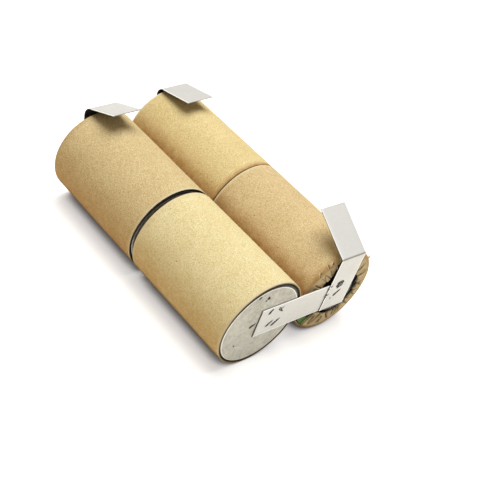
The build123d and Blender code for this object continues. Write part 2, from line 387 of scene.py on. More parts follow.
@dataclass(frozen=True)
class RolledMetal:
    """Bright plated metal: rolling lines, cloudy oxide and tarnish, with painted highlights on edges and
    rims, painted light where asked, and painted shade on sides, ends, bends and rings.
    """

    name: str
    colour: Colour
    tarnish: Colour
    # Colour of painted highlights and painted light.
    edge: Colour
    roughness: float
    mottle: float
    lines: tuple[float, float, float]
    line_strength: float
    metallic: float = 0.85
    pits: float = 0.0
    seed: float = 0.0
    groove: float = 0.0
    rim: float = 0.0
    off_axis: float = 0.0

    def build(self) -> bpy.types.Material:
        """Makes the material."""
        graph = Graph(self.name)
        cloud = graph.noise(3.2, 4, 0.6, seed=self.seed)
        mottle = graph.noise(0.7, 4, 0.65, seed=self.seed + 2)
        frost = graph.noise(0.16, 2, 0.6, seed=self.seed + 4)
        lines = graph.noise(0.16, 3, 0.6, self.lines, self.seed + 6)
        scratches = graph.noise(0.3, 1, 0.4, (0.09, 0.09, 1.0), self.seed + 8).step(0.2, 0.27)
        share = (cloud * 0.8 + mottle * 1.1 + frost * 0.7 + lines * self.line_strength) * self.mottle + 0.3
        colour = graph.mix(share.at_least(0.0), self.colour, self.tarnish)
        if self.pits:
            dots = graph.specks(1.5, 0.13, self.seed + 1) * mottle.step(-0.02, 0.12)
            colour = graph.mix(dots * self.pits, colour, srgb(70, 64, 54))
        # Painted highlight ring at rim, and painted shade from groove outwards, where shade falls between the
        # parts.
        if self.groove:
            radius = self._radius(graph, self.off_axis)
            bright = radius.step(self.rim - 0.12 * MM, self.rim)
            bright = bright * radius.step(self.groove, self.groove - 0.1 * MM)
            colour = graph.mix(bright * (0.8 + frost), colour, self.edge)
            gap = radius.step(self.groove - 0.06 * MM, self.groove + 0.1 * MM)
            colour = graph.mix(gap * 0.94, colour, SHADOW_BLACK)
        # Painted light: lightens a piece towards the highlight colour.
        colour = graph.mix(graph.attribute("painted_light"), colour, self.edge)
        across = abs(graph.attribute("across"))
        rise = graph.attribute("rise")
        # Painted highlight along the strip's edges, and painted shadow on the lower half of its cut sides.
        edge = across.step(0.9, 0.97) * 0.75
        painted_side_shadow = across.step(0.985, 0.999) * rise.step(0.1, -0.5)
        colour = graph.mix(edge * (0.9 + frost), colour, self.edge)
        # Painted shade from the shade attribute and the cut sides.
        shade = graph.attribute("shade").at_least(painted_side_shadow * 0.9)
        colour = graph.mix(shade * 0.99, colour, SHADOW_BLACK)
        scorch = (graph.attribute("scorch") * (1 + frost * 2.0 + mottle * 1.4)).step(0.05, 0.48)
        colour = graph.mix(scorch * 0.96, colour, SCORCH)
        rough = self.roughness + mottle * 0.16 + frost * 0.1 + scratches * 0.06
        rough = rough + (scorch + shade) * 0.35 - edge * 0.08
        graph.feed(Base_Color=colour, Roughness=rough.at_least(0.12))
        graph.feed(Metallic=self.metallic * (1 - (scorch * 0.8).at_least(shade * 0.9)))
        graph.relief(lines * self.line_strength + frost * 0.35 + mottle * 0.3 - scratches * 0.3, 0.012)
        return graph.material

    @staticmethod
    def _radius(graph: Graph, off_axis: float) -> Value:
        """Distance from a line beside the nearer row's axis, outward and below by off_axis, in metres."""
        beside = abs(graph.coordinate("X")) - (CELL_AXIS[0] * MM + off_axis)
        above = graph.coordinate("Z") - (CELL_AXIS[1] * MM - off_axis)
        return (beside * beside + above * above) ** 0.5


@dataclass(frozen=True)
class MouldedPolymer:
    """Nylon, rubber or varnished fibre: an even colour with a faint cloud, dust and a fine skin."""

    name: str
    colour: Colour
    shadow: Colour
    roughness: float
    grain: float
    seed: float = 0.0
    painted_shade_from: float = 0.0

    def build(self) -> bpy.types.Material:
        """Makes the material."""
        graph = Graph(self.name)
        cloud = graph.noise(2.4, 3, 0.55, seed=self.seed)
        skin = graph.noise(self.grain, 2, 0.6, seed=self.seed + 2)
        colour = graph.mix((cloud * 1.2 + skin * 0.9 + 0.35).at_least(0.0), self.colour, self.shadow)
        colour = graph.mix(graph.specks(1.1, 0.09, self.seed) * 0.35, colour, srgb(196, 186, 168))
        # Painted shade: near black from a place along X on, where shade falls under the fold and the strip.
        if self.painted_shade_from:
            painted_shade = graph.coordinate("X").step(self.painted_shade_from, self.painted_shade_from + 2 * MM)
            colour = graph.mix(painted_shade * 0.94, colour, SHADOW_BLACK)
        graph.feed(Base_Color=colour, Roughness=self.roughness + skin * 0.18 + cloud * 0.1)
        graph.relief(skin + cloud * 0.4, 0.02)
        return graph.material


@dataclass(frozen=True)
class PressedPowder:
    """A plate of powder pressed on a foam grid, or a fibre mat: coarse grain with open pores."""

    name: str
    colour: Colour
    pore: Colour
    cell: float
    metallic: float = 0.0
    seed: float = 0.0

    def build(self) -> bpy.types.Material:
        """Makes the material."""
        graph = Graph(self.name)
        grain = graph.noise(self.cell, 3, 0.65, seed=self.seed)
        pores = graph.specks(self.cell * 1.8, 0.3, self.seed)
        colour = graph.mix((grain * 1.6 + 0.3).at_least(0.0), self.colour, self.pore)
        colour = graph.mix(pores * 0.8, colour, self.pore)
        graph.feed(Base_Color=colour, Roughness=0.78 + grain * 0.3, Metallic=self.metallic)
        graph.relief(grain - pores, 0.05)
        return graph.material


class Paper(Enum):
    """The four tubes' papers, which differ a little from roll to roll."""

    FRONT_LEFT = KraftPaper("kraft_front_left", srgb(253, 248, 207), srgb(217, 193, 124), seed=1.0)
    REAR_LEFT = KraftPaper("kraft_rear_left", srgb(242, 227, 181), srgb(190, 160, 101), seed=21.0)
    FRONT_RIGHT = KraftPaper("kraft_front_right", srgb(243, 226, 182), srgb(193, 162, 104), seed=41.0)
    REAR_RIGHT = KraftPaper("kraft_rear_right", srgb(249, 235, 186), srgb(205, 177, 106), seed=61.0)


class Finish(Enum):
    """Every other finish in the pack."""

    STRIP = RolledMetal(
        "nickel_strip", srgb(210, 208, 202), srgb(187, 184, 177), srgb(250, 250, 246), 0.42, 0.6,
        (0.07, 1.0, 0.4), 0.35, metallic=0.8, seed=3.0,
    )
    # Its rings paint a highlight on the floor's rounded edge and shade in the gap inside the tube.
    CAN = RolledMetal(
        "can_steel", srgb(197, 194, 182), srgb(149, 145, 131), srgb(246, 243, 234), 0.46, 1.7,
        (1.0, 0.3, 1.0), 0.15, metallic=0.7, pits=0.7, seed=13.0,
        groove=10.6 * MM, rim=10.42 * MM, off_axis=0.16 * MM,
    )
    # Its rings paint a highlight ring and shade beyond it, where the cap lies in shade.
    CAP = RolledMetal(
        "cap_steel", srgb(214, 210, 200), srgb(172, 166, 150), srgb(240, 238, 232), 0.36, 0.7,
        (1.0, 0.25, 1.0), 0.3, pits=0.3, seed=23.0, groove=3.4 * MM, rim=3.3 * MM,
    )
    # Its rings paint a highlight ring and shade beyond it, where the cover lies in shade under the fold.
    COVER = RolledMetal(
        "cover_steel", srgb(202, 198, 188), srgb(160, 154, 140), srgb(230, 228, 220), 0.4, 0.6,
        (1.0, 0.25, 1.0), 0.3, seed=33.0, groove=5.6 * MM, rim=5.3 * MM,
    )
    COLLECTOR = RolledMetal(
        "collector_nickel", srgb(196, 192, 180), srgb(150, 144, 128), srgb(226, 222, 214), 0.45, 0.7,
        (1.0, 0.2, 1.0), 0.4, seed=43.0,
    )
    # Near black from 6 mm along X on: painted shade where the washer lies under the fold.
    WASHER = MouldedPolymer(
        "insulating_paper", srgb(86, 134, 66), srgb(52, 96, 44), 0.62, 0.25, 5.0, painted_shade_from=6.0 * MM
    )
    GASKET = MouldedPolymer("gasket_nylon", srgb(58, 54, 50), srgb(30, 27, 25), 0.5, 0.3, 15.0)
    PLUG = MouldedPolymer("vent_rubber", srgb(44, 44, 46), srgb(22, 22, 24), 0.7, 0.2, 25.0)
    FLEECE = PressedPowder("separator_fleece", srgb(232, 229, 220), srgb(190, 184, 170), 0.18, 0.0, 35.0)
    POSITIVE = PressedPowder("positive_plate", srgb(66, 70, 72), srgb(24, 26, 28), 0.22, 0.2, 45.0)
    NEGATIVE = PressedPowder("negative_plate", srgb(128, 124, 118), srgb(70, 66, 62), 0.2, 0.2, 55.0)
    FIBRE = MouldedPolymer("loose_pulp", srgb(224, 202, 160), srgb(186, 156, 108), 0.9, 0.1, 65.0)


class Workshop:
    """Builds each finish once, on first use."""

    def __init__(self) -> None:
        """Starts with no materials."""
        self._made: dict[str, bpy.types.Material] = {}

    def material(self, finish: Union[Paper, Finish]) -> bpy.types.Material:
        """The finish's material."""
        if finish.value.name not in self._made:
            self._made[finish.value.name] = finish.value.build()
        return self._made[finish.value.name]


# --- Meshes ---


def faces_of_lattice(rows: int, columns: int) -> Array:
    """Quads of a lattice that closes on itself both ways.

    Args:
        rows: Points along each profile.
        columns: Profiles round the piece.

    Returns:
        Four point indices a face.
    """
    row, column = np.meshgrid(np.arange(rows), np.arange(columns), indexing="ij")
    next_row, next_column = (row + 1) % rows, (column + 1) % columns
    corners = (
        row * columns + column,
        row * columns + next_column,
        next_row * columns + next_column,
        next_row * columns + column,
    )
    return np.stack(corners, axis=-1).reshape(-1, 4)


def signed_volume(points: Array, faces: Array) -> float:
    """Volume inside a closed shell of quads, negative where its faces point inwards."""
    first, second, third, fourth = (points[faces[:, corner]] for corner in range(4))
    halves = (np.cross(first, second) * third).sum() / 6, (np.cross(first, third) * fourth).sum() / 6
    return float(halves[0] + halves[1])


def disc_faces(rings: int, spokes: int, first: int) -> list[tuple[int, ...]]:
    """Faces of a disc about point 0.

    Args:
        rings: How many rings of points it has.
        spokes: Points in each ring.
        first: The first ring's first point.

    Returns:
        Point indices of each face.
    """
    faces: list[tuple[int, ...]] = []
    for spoke in range(spokes):
        following = (spoke + 1) % spokes
        faces.append((0, first + spoke, first + following))
        for ring in range(rings - 1):
            inner, outer = first + ring * spokes, first + (ring + 1) * spokes
            faces.append((inner + spoke, outer + spoke, outer + following, inner + following))
    return faces


def new_mesh(name: str, points: Any, faces: Any = (), edges: Any = ()) -> bpy.types.Mesh:
    """A mesh from points in millimetres."""
    mesh = bpy.data.meshes.new(name)
    mesh.from_pydata((np.asarray(points, float) * MM).tolist(), edges, faces)
    return mesh


def in_scene(name: str, data: bpy.types.ID) -> bpy.types.Object:
    """A new object in the scene, at the origin."""
    made = bpy.data.objects.new(name, data)
    bpy.context.scene.collection.objects.link(made)
    return made


def shade_smooth(mesh: bpy.types.Mesh) -> None:
    """Shades every face smooth."""
    mesh.polygons.foreach_set("use_smooth", np.full(len(mesh.polygons), True))


def make_piece(name: str, points: Array, faces: Array, material: bpy.types.Material) -> bpy.types.Object:
    """Makes a smooth object with its faces outwards.

    Args:
        name: The piece's name.
        points: Its points, in the pack's frame, in mm.
        faces: Its quads.
        material: Its material.

    Returns:
        The object, at the origin.
    """
    if signed_volume(points, faces) < 0:
        faces = faces[:, ::-1]
    mesh = new_mesh(name, points, faces.tolist())
    shade_smooth(mesh)
    mesh.materials.append(material)
    mesh.update()
    return in_scene(name, mesh)


def write_attribute(piece: bpy.types.Object, name: str, values: Array) -> None:
    """Writes a number at each point as it is, without limits."""
    attribute = piece.data.attributes.get(name) or piece.data.attributes.new(name, "FLOAT", "POINT")
    attribute.data.foreach_set("value", values.astype(np.float32).ravel())


def set_attribute(piece: bpy.types.Object, name: str, values: Array) -> None:
    """Gives each point of a mesh a number from 0 to 1 that its material reads."""
    write_attribute(piece, name, np.clip(values, 0, 1))


def write_vectors(mesh: bpy.types.Mesh, name: str, vectors: Array) -> None:
    """Gives each point of a mesh a vector."""
    attribute = mesh.attributes.new(name, "FLOAT_VECTOR", "POINT")
    attribute.data.foreach_set("vector", np.asarray(vectors, np.float32).ravel())


def read_attribute(piece: bpy.types.Object, name: str) -> Array:
    """A mesh's numbers, one a point."""
    values = np.zeros(len(piece.data.vertices), np.float32)
    piece.data.attributes[name].data.foreach_get("value", values)
    return values


def read_places(piece: bpy.types.Object) -> Array:
    """The places of a mesh's points, in metres."""
    places = np.zeros(len(piece.data.vertices) * 3, np.float32)
    piece.data.attributes["position"].data.foreach_get("vector", places)
    return places.reshape(-1, 3)


def ripple(angle: Array, height: Array, seed: int, turns: int, pitch: float, waves: int = 9) -> Array:
    """Smooth unevenness over a tube, about -1 to 1, that closes round it.

    Args:
        angle: Angle round the tube, in radians.
        height: Distance along it, in mm.
        seed: Which unevenness.
        turns: Most waves round the tube.
        pitch: Shortest wave along it, in mm.
        waves: How many waves add up.

    Returns:
        The unevenness at each point.
    """
    draw = np.random.default_rng(seed)
    total = np.zeros(np.broadcast(angle, height).shape)
    for _ in range(waves):
        order = draw.integers(0, turns + 1)
        rate = draw.uniform(-1, 1) * TURN / pitch
        total += np.cos(order * angle + rate * height + draw.uniform(0, TURN))
    return total / math.sqrt(waves * 2)


def wrapped(angle: Array) -> Array:
    """An angle brought between minus and plus half a turn."""
    return (angle + math.pi) % TURN - math.pi


def bump(offset: Array, width: float) -> Array:
    """A rounded ridge, 1 in the middle and fading over a width."""
    return np.exp(-((offset / width) ** 2))


def largest(*values: Array) -> Array:
    """The largest of several arrays at each point."""
    return reduce(np.maximum, values)


def smoothstep(values: Array, low: float, high: float) -> Array:
    """A smooth step from 0 at low to 1 at high; low may be above high."""
    share = np.clip((values - low) / (high - low), 0, 1)
    return share * share * (3 - 2 * share)


# --- Paper tubes ---

# Angles from the middle of each painted shade, in radians: where it is nothing and where it is full.
VALLEY_FADE = (math.radians(43), math.radians(12))
UNDER_FADE = (math.radians(122), math.radians(54))
CONTACT_FADE = (math.radians(66), math.radians(54))


@dataclass(frozen=True)
class Tear:
    """A nick in a tube's wall near its fold: a slit with a lifted, paler lip."""

    angle: float
    back: float
    length: float
    width: float
    slant: float
    depth: float
    lift: float


@dataclass
class PaperTube:
    """One cell's paper tube: open at the can's floor, folded in over the cap end in overlapping pleats."""

    cell: str
    paper: Paper
    cap_forward: bool
    seed: int
    shoulder: float
    columns: int
    wall: float = 0.5
    cut_edge: float = 0.1
    fold_radius: float = 6.8
    pleats: int = 21
    pleat_lift: float = 0.42
    swirl: float = 0.05
    wall_rows: int = 52
    fold_rows: int = 47
    lining_rows: int = 22
    # Painted shade in the mouth, on fold faces, behind a strip, in the valley and underneath; a painted
    # highlight on the fold's shoulder; soil at the shoulder; the cut rim's pale width left unshaded.
    mouth_shade: float = 0.9
    pale_rim: float = 0.24
    fold_face_shade: float = 0.0
    shoulder_highlight: float = 0.0
    behind_tab: tuple[float, float, float, float] | None = None
    shoulder_soil: float = 0.32
    valley_shade: float = 0.8
    under_shade: float = 0.6
    scores: int = 26
    fold_edge: tuple[tuple[float, float], ...] = ()
    gone: tuple[float, float] | None = None
    tears: tuple[Tear, ...] = ()

    def __post_init__(self) -> None:
        """Reads the tube's place from its solid."""
        low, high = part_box(f"{self.cell}_paper_tube")
        self.axis_x = (low.x + high.x) / 2 / MM
        self.axis_z = (low.z + high.z) / 2 / MM
        self.radius = (high.x - low.x) / 2 / MM
        self.length = (high.y - low.y) / MM
        self.open_y = (high.y if self.cap_forward else low.y) / MM
        self.forward = -1 if self.cap_forward else 1
        self.bend = self.shoulder - self.wall / 2
        self.wall_run = self.length - self.shoulder
        self.bend_run = self.bend * math.pi / 2
        self.fold_room = self.radius - self.shoulder - self.fold_radius

    def build(self, workshop: Workshop) -> bpy.types.Object:
        """Makes the tube and puts it in its solid's place.

        Args:
            workshop: Where its material comes from.

        Returns:
            The tube.
        """
        angle = np.arange(self.columns) * TURN / self.columns
        run, side, cut = self._profile(self._sheet_end(angle))
        inward = np.maximum(run - self.wall_run - self.bend_run, 0) / self.fold_room
        turned = angle[None, :] - self.swirl * np.minimum(inward, 1.3)
        height, crease = self._pleat_height(angle, inward)
        nick, lip = self._tear_height(angle[None, :], run)
        score, ridge = self._scores(angle[None, :], inward)
        outside = np.clip(side / self.wall + 0.5, 0, 1)
        rise = height + (nick - 0.25 * score + 0.16 * ridge) * outside + self._unevenness(turned, run)
        radius, level = self._place(run, side + rise)
        across = self.axis_x + radius * np.cos(turned)
        above = self.axis_z + radius * np.sin(turned)
        points = np.stack([across, self.open_y + self.forward * level, above], axis=-1).reshape(-1, 3)
        faces = faces_of_lattice(run.shape[0], self.columns)
        piece = make_piece(f"{self.cell}_kraft_tube", points, faces, workshop.material(self.paper))
        fold = smoothstep(run, self.wall_run + self.bend_run * 0.5, self.wall_run + self.bend_run + 0.5)
        # Soil, painted shade in the valley and underneath, and a painted ground shadow.
        soil_and_shade, painted_ground_shadow = self._stains_and_shade(turned, run, fold)
        # Painted highlight: a pale line along the fold's shoulder.
        painted_shoulder_highlight = self.shoulder_highlight * bump(run - self.wall_run + 0.05, 0.17)
        set_attribute(piece, "fold", fold)
        set_attribute(piece, "soil_and_shade", soil_and_shade * outside)
        set_attribute(piece, "cut", np.maximum(cut, largest(lip, ridge * 0.85, painted_shoulder_highlight) * outside))
        # Creases, scores and slits, and the painted ground shadow.
        set_attribute(piece, "crease", largest(crease * 0.6, score, -nick / 0.3, painted_ground_shadow) * outside)
        # Painted shade in the tube's mouth, on its fold's face and in the gap behind a strip.
        gap_shading = np.maximum(self._mouth_and_fold_shade(run, side, inward), self._behind(across, above, run))
        set_attribute(piece, "gap_shade", gap_shading)
        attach(piece, "pack")
        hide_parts(f"{self.cell}_paper_tube")
        return piece

    def _stains_and_shade(self, turned: Array, run: Array, fold: Array) -> tuple[Array, Array]:
        """Where the wall is soiled or painted with shade, 0 to 1.

        Args:
            turned: Angle round the tube.
            run: Distance along the sheet.
            fold: How much each point belongs to the fold.

        Returns:
            Soil at the shoulder, a darker band at the mouth, painted shade in the valley between the rows and
            underneath, and a painted shadow where the tube lies on the ground.
        """
        wall = 1 - fold
        shoulder = smoothstep(run, self.wall_run - 1.2, self.wall_run + 0.3) * wall * self.shoulder_soil
        mouth = smoothstep(run, 0.9, 0.1) * 0.2
        # Painted shade in the valley between the rows and underneath, and a painted dark line where the tube
        # lies on the ground.
        other_row = 0.0 if self.axis_x < 0 else math.pi
        valley = self.valley_shade * smoothstep(np.abs(wrapped(turned - other_row)), *VALLEY_FADE) * wall
        beneath = np.abs(wrapped(turned + math.pi / 2))
        under = smoothstep(beneath, *UNDER_FADE) * wall * self.under_shade
        painted_ground_shadow = 0.65 * smoothstep(beneath, *CONTACT_FADE) * wall
        return largest(shoulder, mouth, valley, under), painted_ground_shadow

    def _mouth_and_fold_shade(self, run: Array, side: Array, inward: Array) -> Array:
        """Painted shade, near black, inside the tube's mouth, on its cut rim and on the front of its fold, 0
        to 1.
        """
        black = (run < self.cut_edge) & (side < self.wall / 2 - self.pale_rim) | (run < 2) & (side < 0)
        facing = smoothstep(run, self.wall_run + 0.3 * self.bend_run, self.wall_run + 0.8 * self.bend_run)
        facing = facing * (1 - 0.75 * smoothstep(inward, 0.2, 0.6)) * self.fold_face_shade
        return np.maximum(black * self.mouth_shade, facing)

    def _behind(self, across: Array, above: Array, run: Array) -> Array:
        """Painted shade in the gap between the fold and a strip before it, 0 to 1; its left side leans in
        upwards.
        """
        if not self.behind_tab:
            return np.zeros_like(run)
        left, right, bottom, top = self.behind_tab
        slant = 0.13 * np.maximum(above - self.axis_z, 0)
        gap = smoothstep(across - slant, left - 0.1, left + 0.3) * smoothstep(across, right + 0.2, right)
        gap = gap * smoothstep(above, bottom, bottom + 0.5) * smoothstep(above, top, top - 0.4)
        return gap * smoothstep(run, self.wall_run - 0.3, self.wall_run + 0.6)

    def _sheet_end(self, angle: Array) -> Array:
        """How far the sheet runs, from the open end to the fold's inner edge, at each angle."""
        draw = np.random.default_rng(self.seed)
        edge = self.fold_radius + 0.22 * ripple(angle, np.zeros(1), self.seed + 5, 14, 10.0)
        if self.fold_edge:
            places = [math.radians(at) + self.swirl for at, _ in self.fold_edge]
            edge = np.interp(angle, places, [radius for _, radius in self.fold_edge], period=TURN)
            edge = edge + 0.12 * ripple(angle, np.zeros(1), self.seed + 5, 24, 10.0)
        edge = edge + draw.uniform(-0.1, 0.1, self.columns)
        end = self.wall_run + self.bend_run + self.radius - self.shoulder - edge
        if self.gone:
            low, high = (math.radians(at) % TURN for at in self.gone)
            inside = smoothstep(angle, low - 0.02, low + 0.02) * smoothstep(angle, high + 0.03, high - 0.03)
            ragged = 0.12 * ripple(angle, np.zeros(1), self.seed + 9, 60, 10.0)
            end = end * (1 - inside) + (self.wall_run + 0.4 + ragged) * inside
        return end

    def _profile(self, end: Array) -> tuple[Array, Array, Array]:
        """The closed outline of the sheet's section at each angle.

        Args:
            end: Where the sheet ends at each angle.

        Returns:
            Run along the sheet, distance from its middle, and where it is a cut edge.
        """
        half, edge = self.wall / 2, self.cut_edge
        rows: list[tuple[Array, float, float]] = []

        def add(run: Union[Array, float], side: float, cut: float = 0.0) -> None:
            """Adds one row of the outline."""
            rows.append((np.broadcast_to(run, end.shape), side, cut))

        for run in np.linspace(edge, self.wall_run, self.wall_rows):
            add(run, half, 1.0 if run == edge else 0.0)
        folded = end - half * 0.6 - self.wall_run
        for share in np.linspace(0, 1, self.fold_rows)[1:] ** 1.15:
            add(self.wall_run + share * folded, half)
        for turn in np.linspace(90, -90, 7)[1:-1]:
            tilt = math.radians(turn)
            add(end - half * 0.6 * (1 - math.cos(tilt)), half * math.sin(tilt), 0.8)
        for share in np.linspace(1, 0, self.lining_rows):
            add(self.wall_run + share * folded, -half)
        for run in np.linspace(self.wall_run, edge, 9)[1:]:
            add(run, -half)
        for run, side in (
            (edge * 0.3, -half + edge * 0.3),
            (0.0, -half + edge),
            (0.0, -half * 0.35),
            (0.0, half * 0.3),
            (0.0, half - edge),
            (edge * 0.3, half - edge * 0.3),
        ):
            add(run, side, 1.0)
        run = np.stack([row[0] for row in rows])
        side = np.array([row[1] for row in rows])[:, None] * np.ones_like(run)
        cut = np.array([row[2] for row in rows])[:, None] * np.ones_like(run)
        return run, side, cut

    def _place(self, run: Array, side: Array) -> tuple[Array, Array]:
        """Bends the sheet into the tube's section.

        Args:
            run: Distance along the sheet from the open end.
            side: Distance outside the sheet's middle.

        Returns:
            Radius from the tube's axis, and distance from the open end along it.
        """
        turn = np.clip((run - self.wall_run) / self.bend, 0, math.pi / 2)
        inward = np.maximum(run - self.wall_run - self.bend_run, 0)
        straight = np.minimum(run, self.wall_run)
        radius = self.radius - self.shoulder + (self.bend + side) * np.cos(turn) - inward
        level = straight + (self.bend + side) * np.sin(turn)
        return radius, level

    def _pleat_height(self, angle: Array, inward: Array) -> tuple[Array, Array]:
        """Each pleat rises to its free edge and drops on the next, more towards the middle.

        Args:
            angle: The columns' angles.
            inward: How far in each point lies, 0 at the shoulder and 1 at the edge.

        Returns:
            Height, in mm, and how deep in a crease each point lies.
        """
        draw = np.random.default_rng(self.seed + 31)
        places = np.arange(self.pleats) + draw.uniform(-0.36, 0.36, self.pleats)
        starts = np.sort(places * (TURN / self.pleats) % TURN)
        lifts = draw.uniform(0.35, 1.0, self.pleats) * self.pleat_lift
        reaches = draw.uniform(0.02, 0.3, self.pleats)
        index = (np.searchsorted(starts, angle, side="right") - 1) % self.pleats
        begin = starts[index]
        finish = starts[(index + 1) % self.pleats]
        width = (finish - begin) % TURN
        share = ((angle - begin) % TURN) / width
        beyond = inward - reaches[index][None, :]
        grow = smoothstep(beyond, 0.0, 0.6)
        from_start = share * width * (self.radius - 2)
        height = lifts[index] * (share**1.6) * grow - 0.12 * bump(from_start, 0.22) * grow
        return height, bump(from_start, 0.26) * smoothstep(beyond, -0.05, 0.25)

    def _scores(self, angle: Array, inward: Array) -> tuple[Array, Array]:
        """Dark lines pressed into the fold where it was creased, each a little aslant, with a pale ridge.

        Args:
            angle: The columns' angles.
            inward: How far in each point lies, 0 at the shoulder and 1 at the edge.

        Returns:
            How deep in a line each point lies, and how high on a ridge, 0 to 1.
        """
        draw = np.random.default_rng(self.seed + 47)
        line = np.zeros(np.broadcast(angle, inward).shape)
        ridge = np.zeros_like(line)
        for index in range(self.scores):
            middle = TURN * (index + draw.uniform(-0.45, 0.45)) / self.scores
            slant, width = draw.uniform(-0.22, 0.26), draw.uniform(0.15, 0.3)
            near, far = draw.uniform(0.0, 0.16), draw.uniform(0.75, 1.2)
            offset = wrapped(angle - middle - slant * (inward - 0.5))
            across = offset * (self.radius - inward * self.fold_room)
            window = smoothstep(inward, near, near + 0.2) * smoothstep(inward, far, far - 0.3)
            low = 0.5 - 0.5 * math.sin(middle)
            strength = draw.uniform(0.45, 0.8) + 0.6 * low
            line = np.maximum(line, strength * bump(across, width) * window)
            ridge = np.maximum(ridge, strength * bump(across - 1.9 * width, 0.9 * width) * window)
        return line, ridge

    def _tear_height(self, angle: Array, run: Array) -> tuple[Array, Array]:
        """Slits and lifted lips near the fold.

        Args:
            angle: Angle round the tube.
            run: Distance along the sheet.

        Returns:
            Height, in mm, and how much of the pale pulp shows.
        """
        height = np.zeros(np.broadcast(angle, run).shape)
        pale = np.zeros_like(height)
        for tear in self.tears:
            across = wrapped(angle - math.radians(tear.angle)) * self.radius
            along = run - (self.wall_run - tear.back)
            tilt = math.radians(tear.slant)
            down = along * math.cos(tilt) + across * math.sin(tilt)
            over = across * math.cos(tilt) - along * math.sin(tilt)
            reach = np.exp(-((down / (tear.length / 2)) ** 4))
            height -= tear.depth * bump(over, tear.width) * reach
            lip = bump(over - 1.9 * tear.width, tear.width) * reach
            height += tear.lift * lip
            pale = np.maximum(pale, lip)
        return height, pale

    def _unevenness(self, angle: Array, run: Array) -> Array:
        """The wall's own waves: out of round, soft dents and a slightly wavy surface."""
        swell = 0.035 * ripple(angle, run, self.seed + 1, 3, 40.0)
        dents = 0.018 * ripple(angle, run, self.seed + 2, 12, 6.0)
        folds = 0.05 * ripple(angle, run, self.seed + 3, 30, 2.5, 14)
        on_fold = smoothstep(run, self.wall_run + 0.2, self.wall_run + self.bend_run + 1.0)
        return swell + dents + folds * on_fold


# --- Geometry Nodes ---


class GeometryTree(NodeTree):
    """A Geometry Nodes tree with named inputs, evaluated once into a plain mesh."""

    def __init__(self, name: str) -> None:
        """Makes an empty tree that takes and gives geometry.

        Args:
            name: The tree's name.
        """
        super().__init__(bpy.data.node_groups.new(name, "GeometryNodeTree"))
        self.tree.interface.new_socket("Geometry", in_out="INPUT", socket_type="NodeSocketGeometry")
        self.tree.interface.new_socket("Geometry", in_out="OUTPUT", socket_type="NodeSocketGeometry")
        self.entry = self.tree.nodes.new("NodeGroupInput")
        self.exit = self.tree.nodes.new("NodeGroupOutput")

    def input(self, name: str, kind: str) -> None:
        """Adds a named input.

        Args:
            name: Its name.
            kind: Float, Int, Vector, Material or Object.
        """
        self.tree.interface.new_socket(name, in_out="INPUT", socket_type=f"NodeSocket{kind}")

    def given(self, name: str) -> bpy.types.NodeSocket:
        """The socket that carries a named input."""
        return self.entry.outputs[name]

    def vector(self, name: str) -> bpy.types.NodeSocket:
        """A vector that the points carry under a name."""
        kind = {"data_type": "FLOAT_VECTOR"}
        return self.node("GeometryNodeInputNamedAttribute", kind, {"Name": name}).outputs[0]

    def stored(self, geometry: Any, name: str, value: Any) -> bpy.types.NodeSocket:
        """The geometry, with a number kept at each point under a name."""
        kind = {"data_type": "FLOAT", "domain": "POINT"}
        inputs = {"Geometry": geometry, "Name": name, "Value": value}
        return self.node("GeometryNodeStoreNamedAttribute", kind, inputs).outputs[0]

    def close(self, geometry: bpy.types.NodeSocket) -> None:
        """Realizes instances, sets the material and ends the tree.

        Args:
            geometry: What the tree has made.
        """
        real = self.node("GeometryNodeRealizeInstances", {}, {"Geometry": geometry}).outputs[0]
        inputs = {"Geometry": real, "Material": self.given("Material")}
        self.plug(self.exit.inputs[0], self.node("GeometryNodeSetMaterial", {}, inputs).outputs[0])

    def run(self, name: str, mesh: bpy.types.Mesh, values: Mapping[str, Any]) -> bpy.types.Object:
        """Runs the tree on a mesh.

        Args:
            name: The piece's name.
            mesh: What the tree starts from.
            values: The named inputs' values.

        Returns:
            A plain mesh object at the origin.
        """
        piece = in_scene(name, mesh)
        modifier = piece.modifiers.new(self.tree.name, "NODES")
        modifier.node_group = self.tree
        for item in self.tree.interface.items_tree:
            if item.in_out == "INPUT" and item.name in values:
                modifier[item.identifier] = values[item.name]
        piece.update_tag()
        graph = bpy.context.evaluated_depsgraph_get()
        graph.update()
        made = bpy.data.meshes.new_from_object(
            piece.evaluated_get(graph), preserve_all_data_layers=True, depsgraph=graph
        )
        piece.modifiers.clear()
        piece.data = made
        made.name = name
        if not made.materials:
            made.materials.append(values["Material"])
        shade_smooth(made)
        return piece


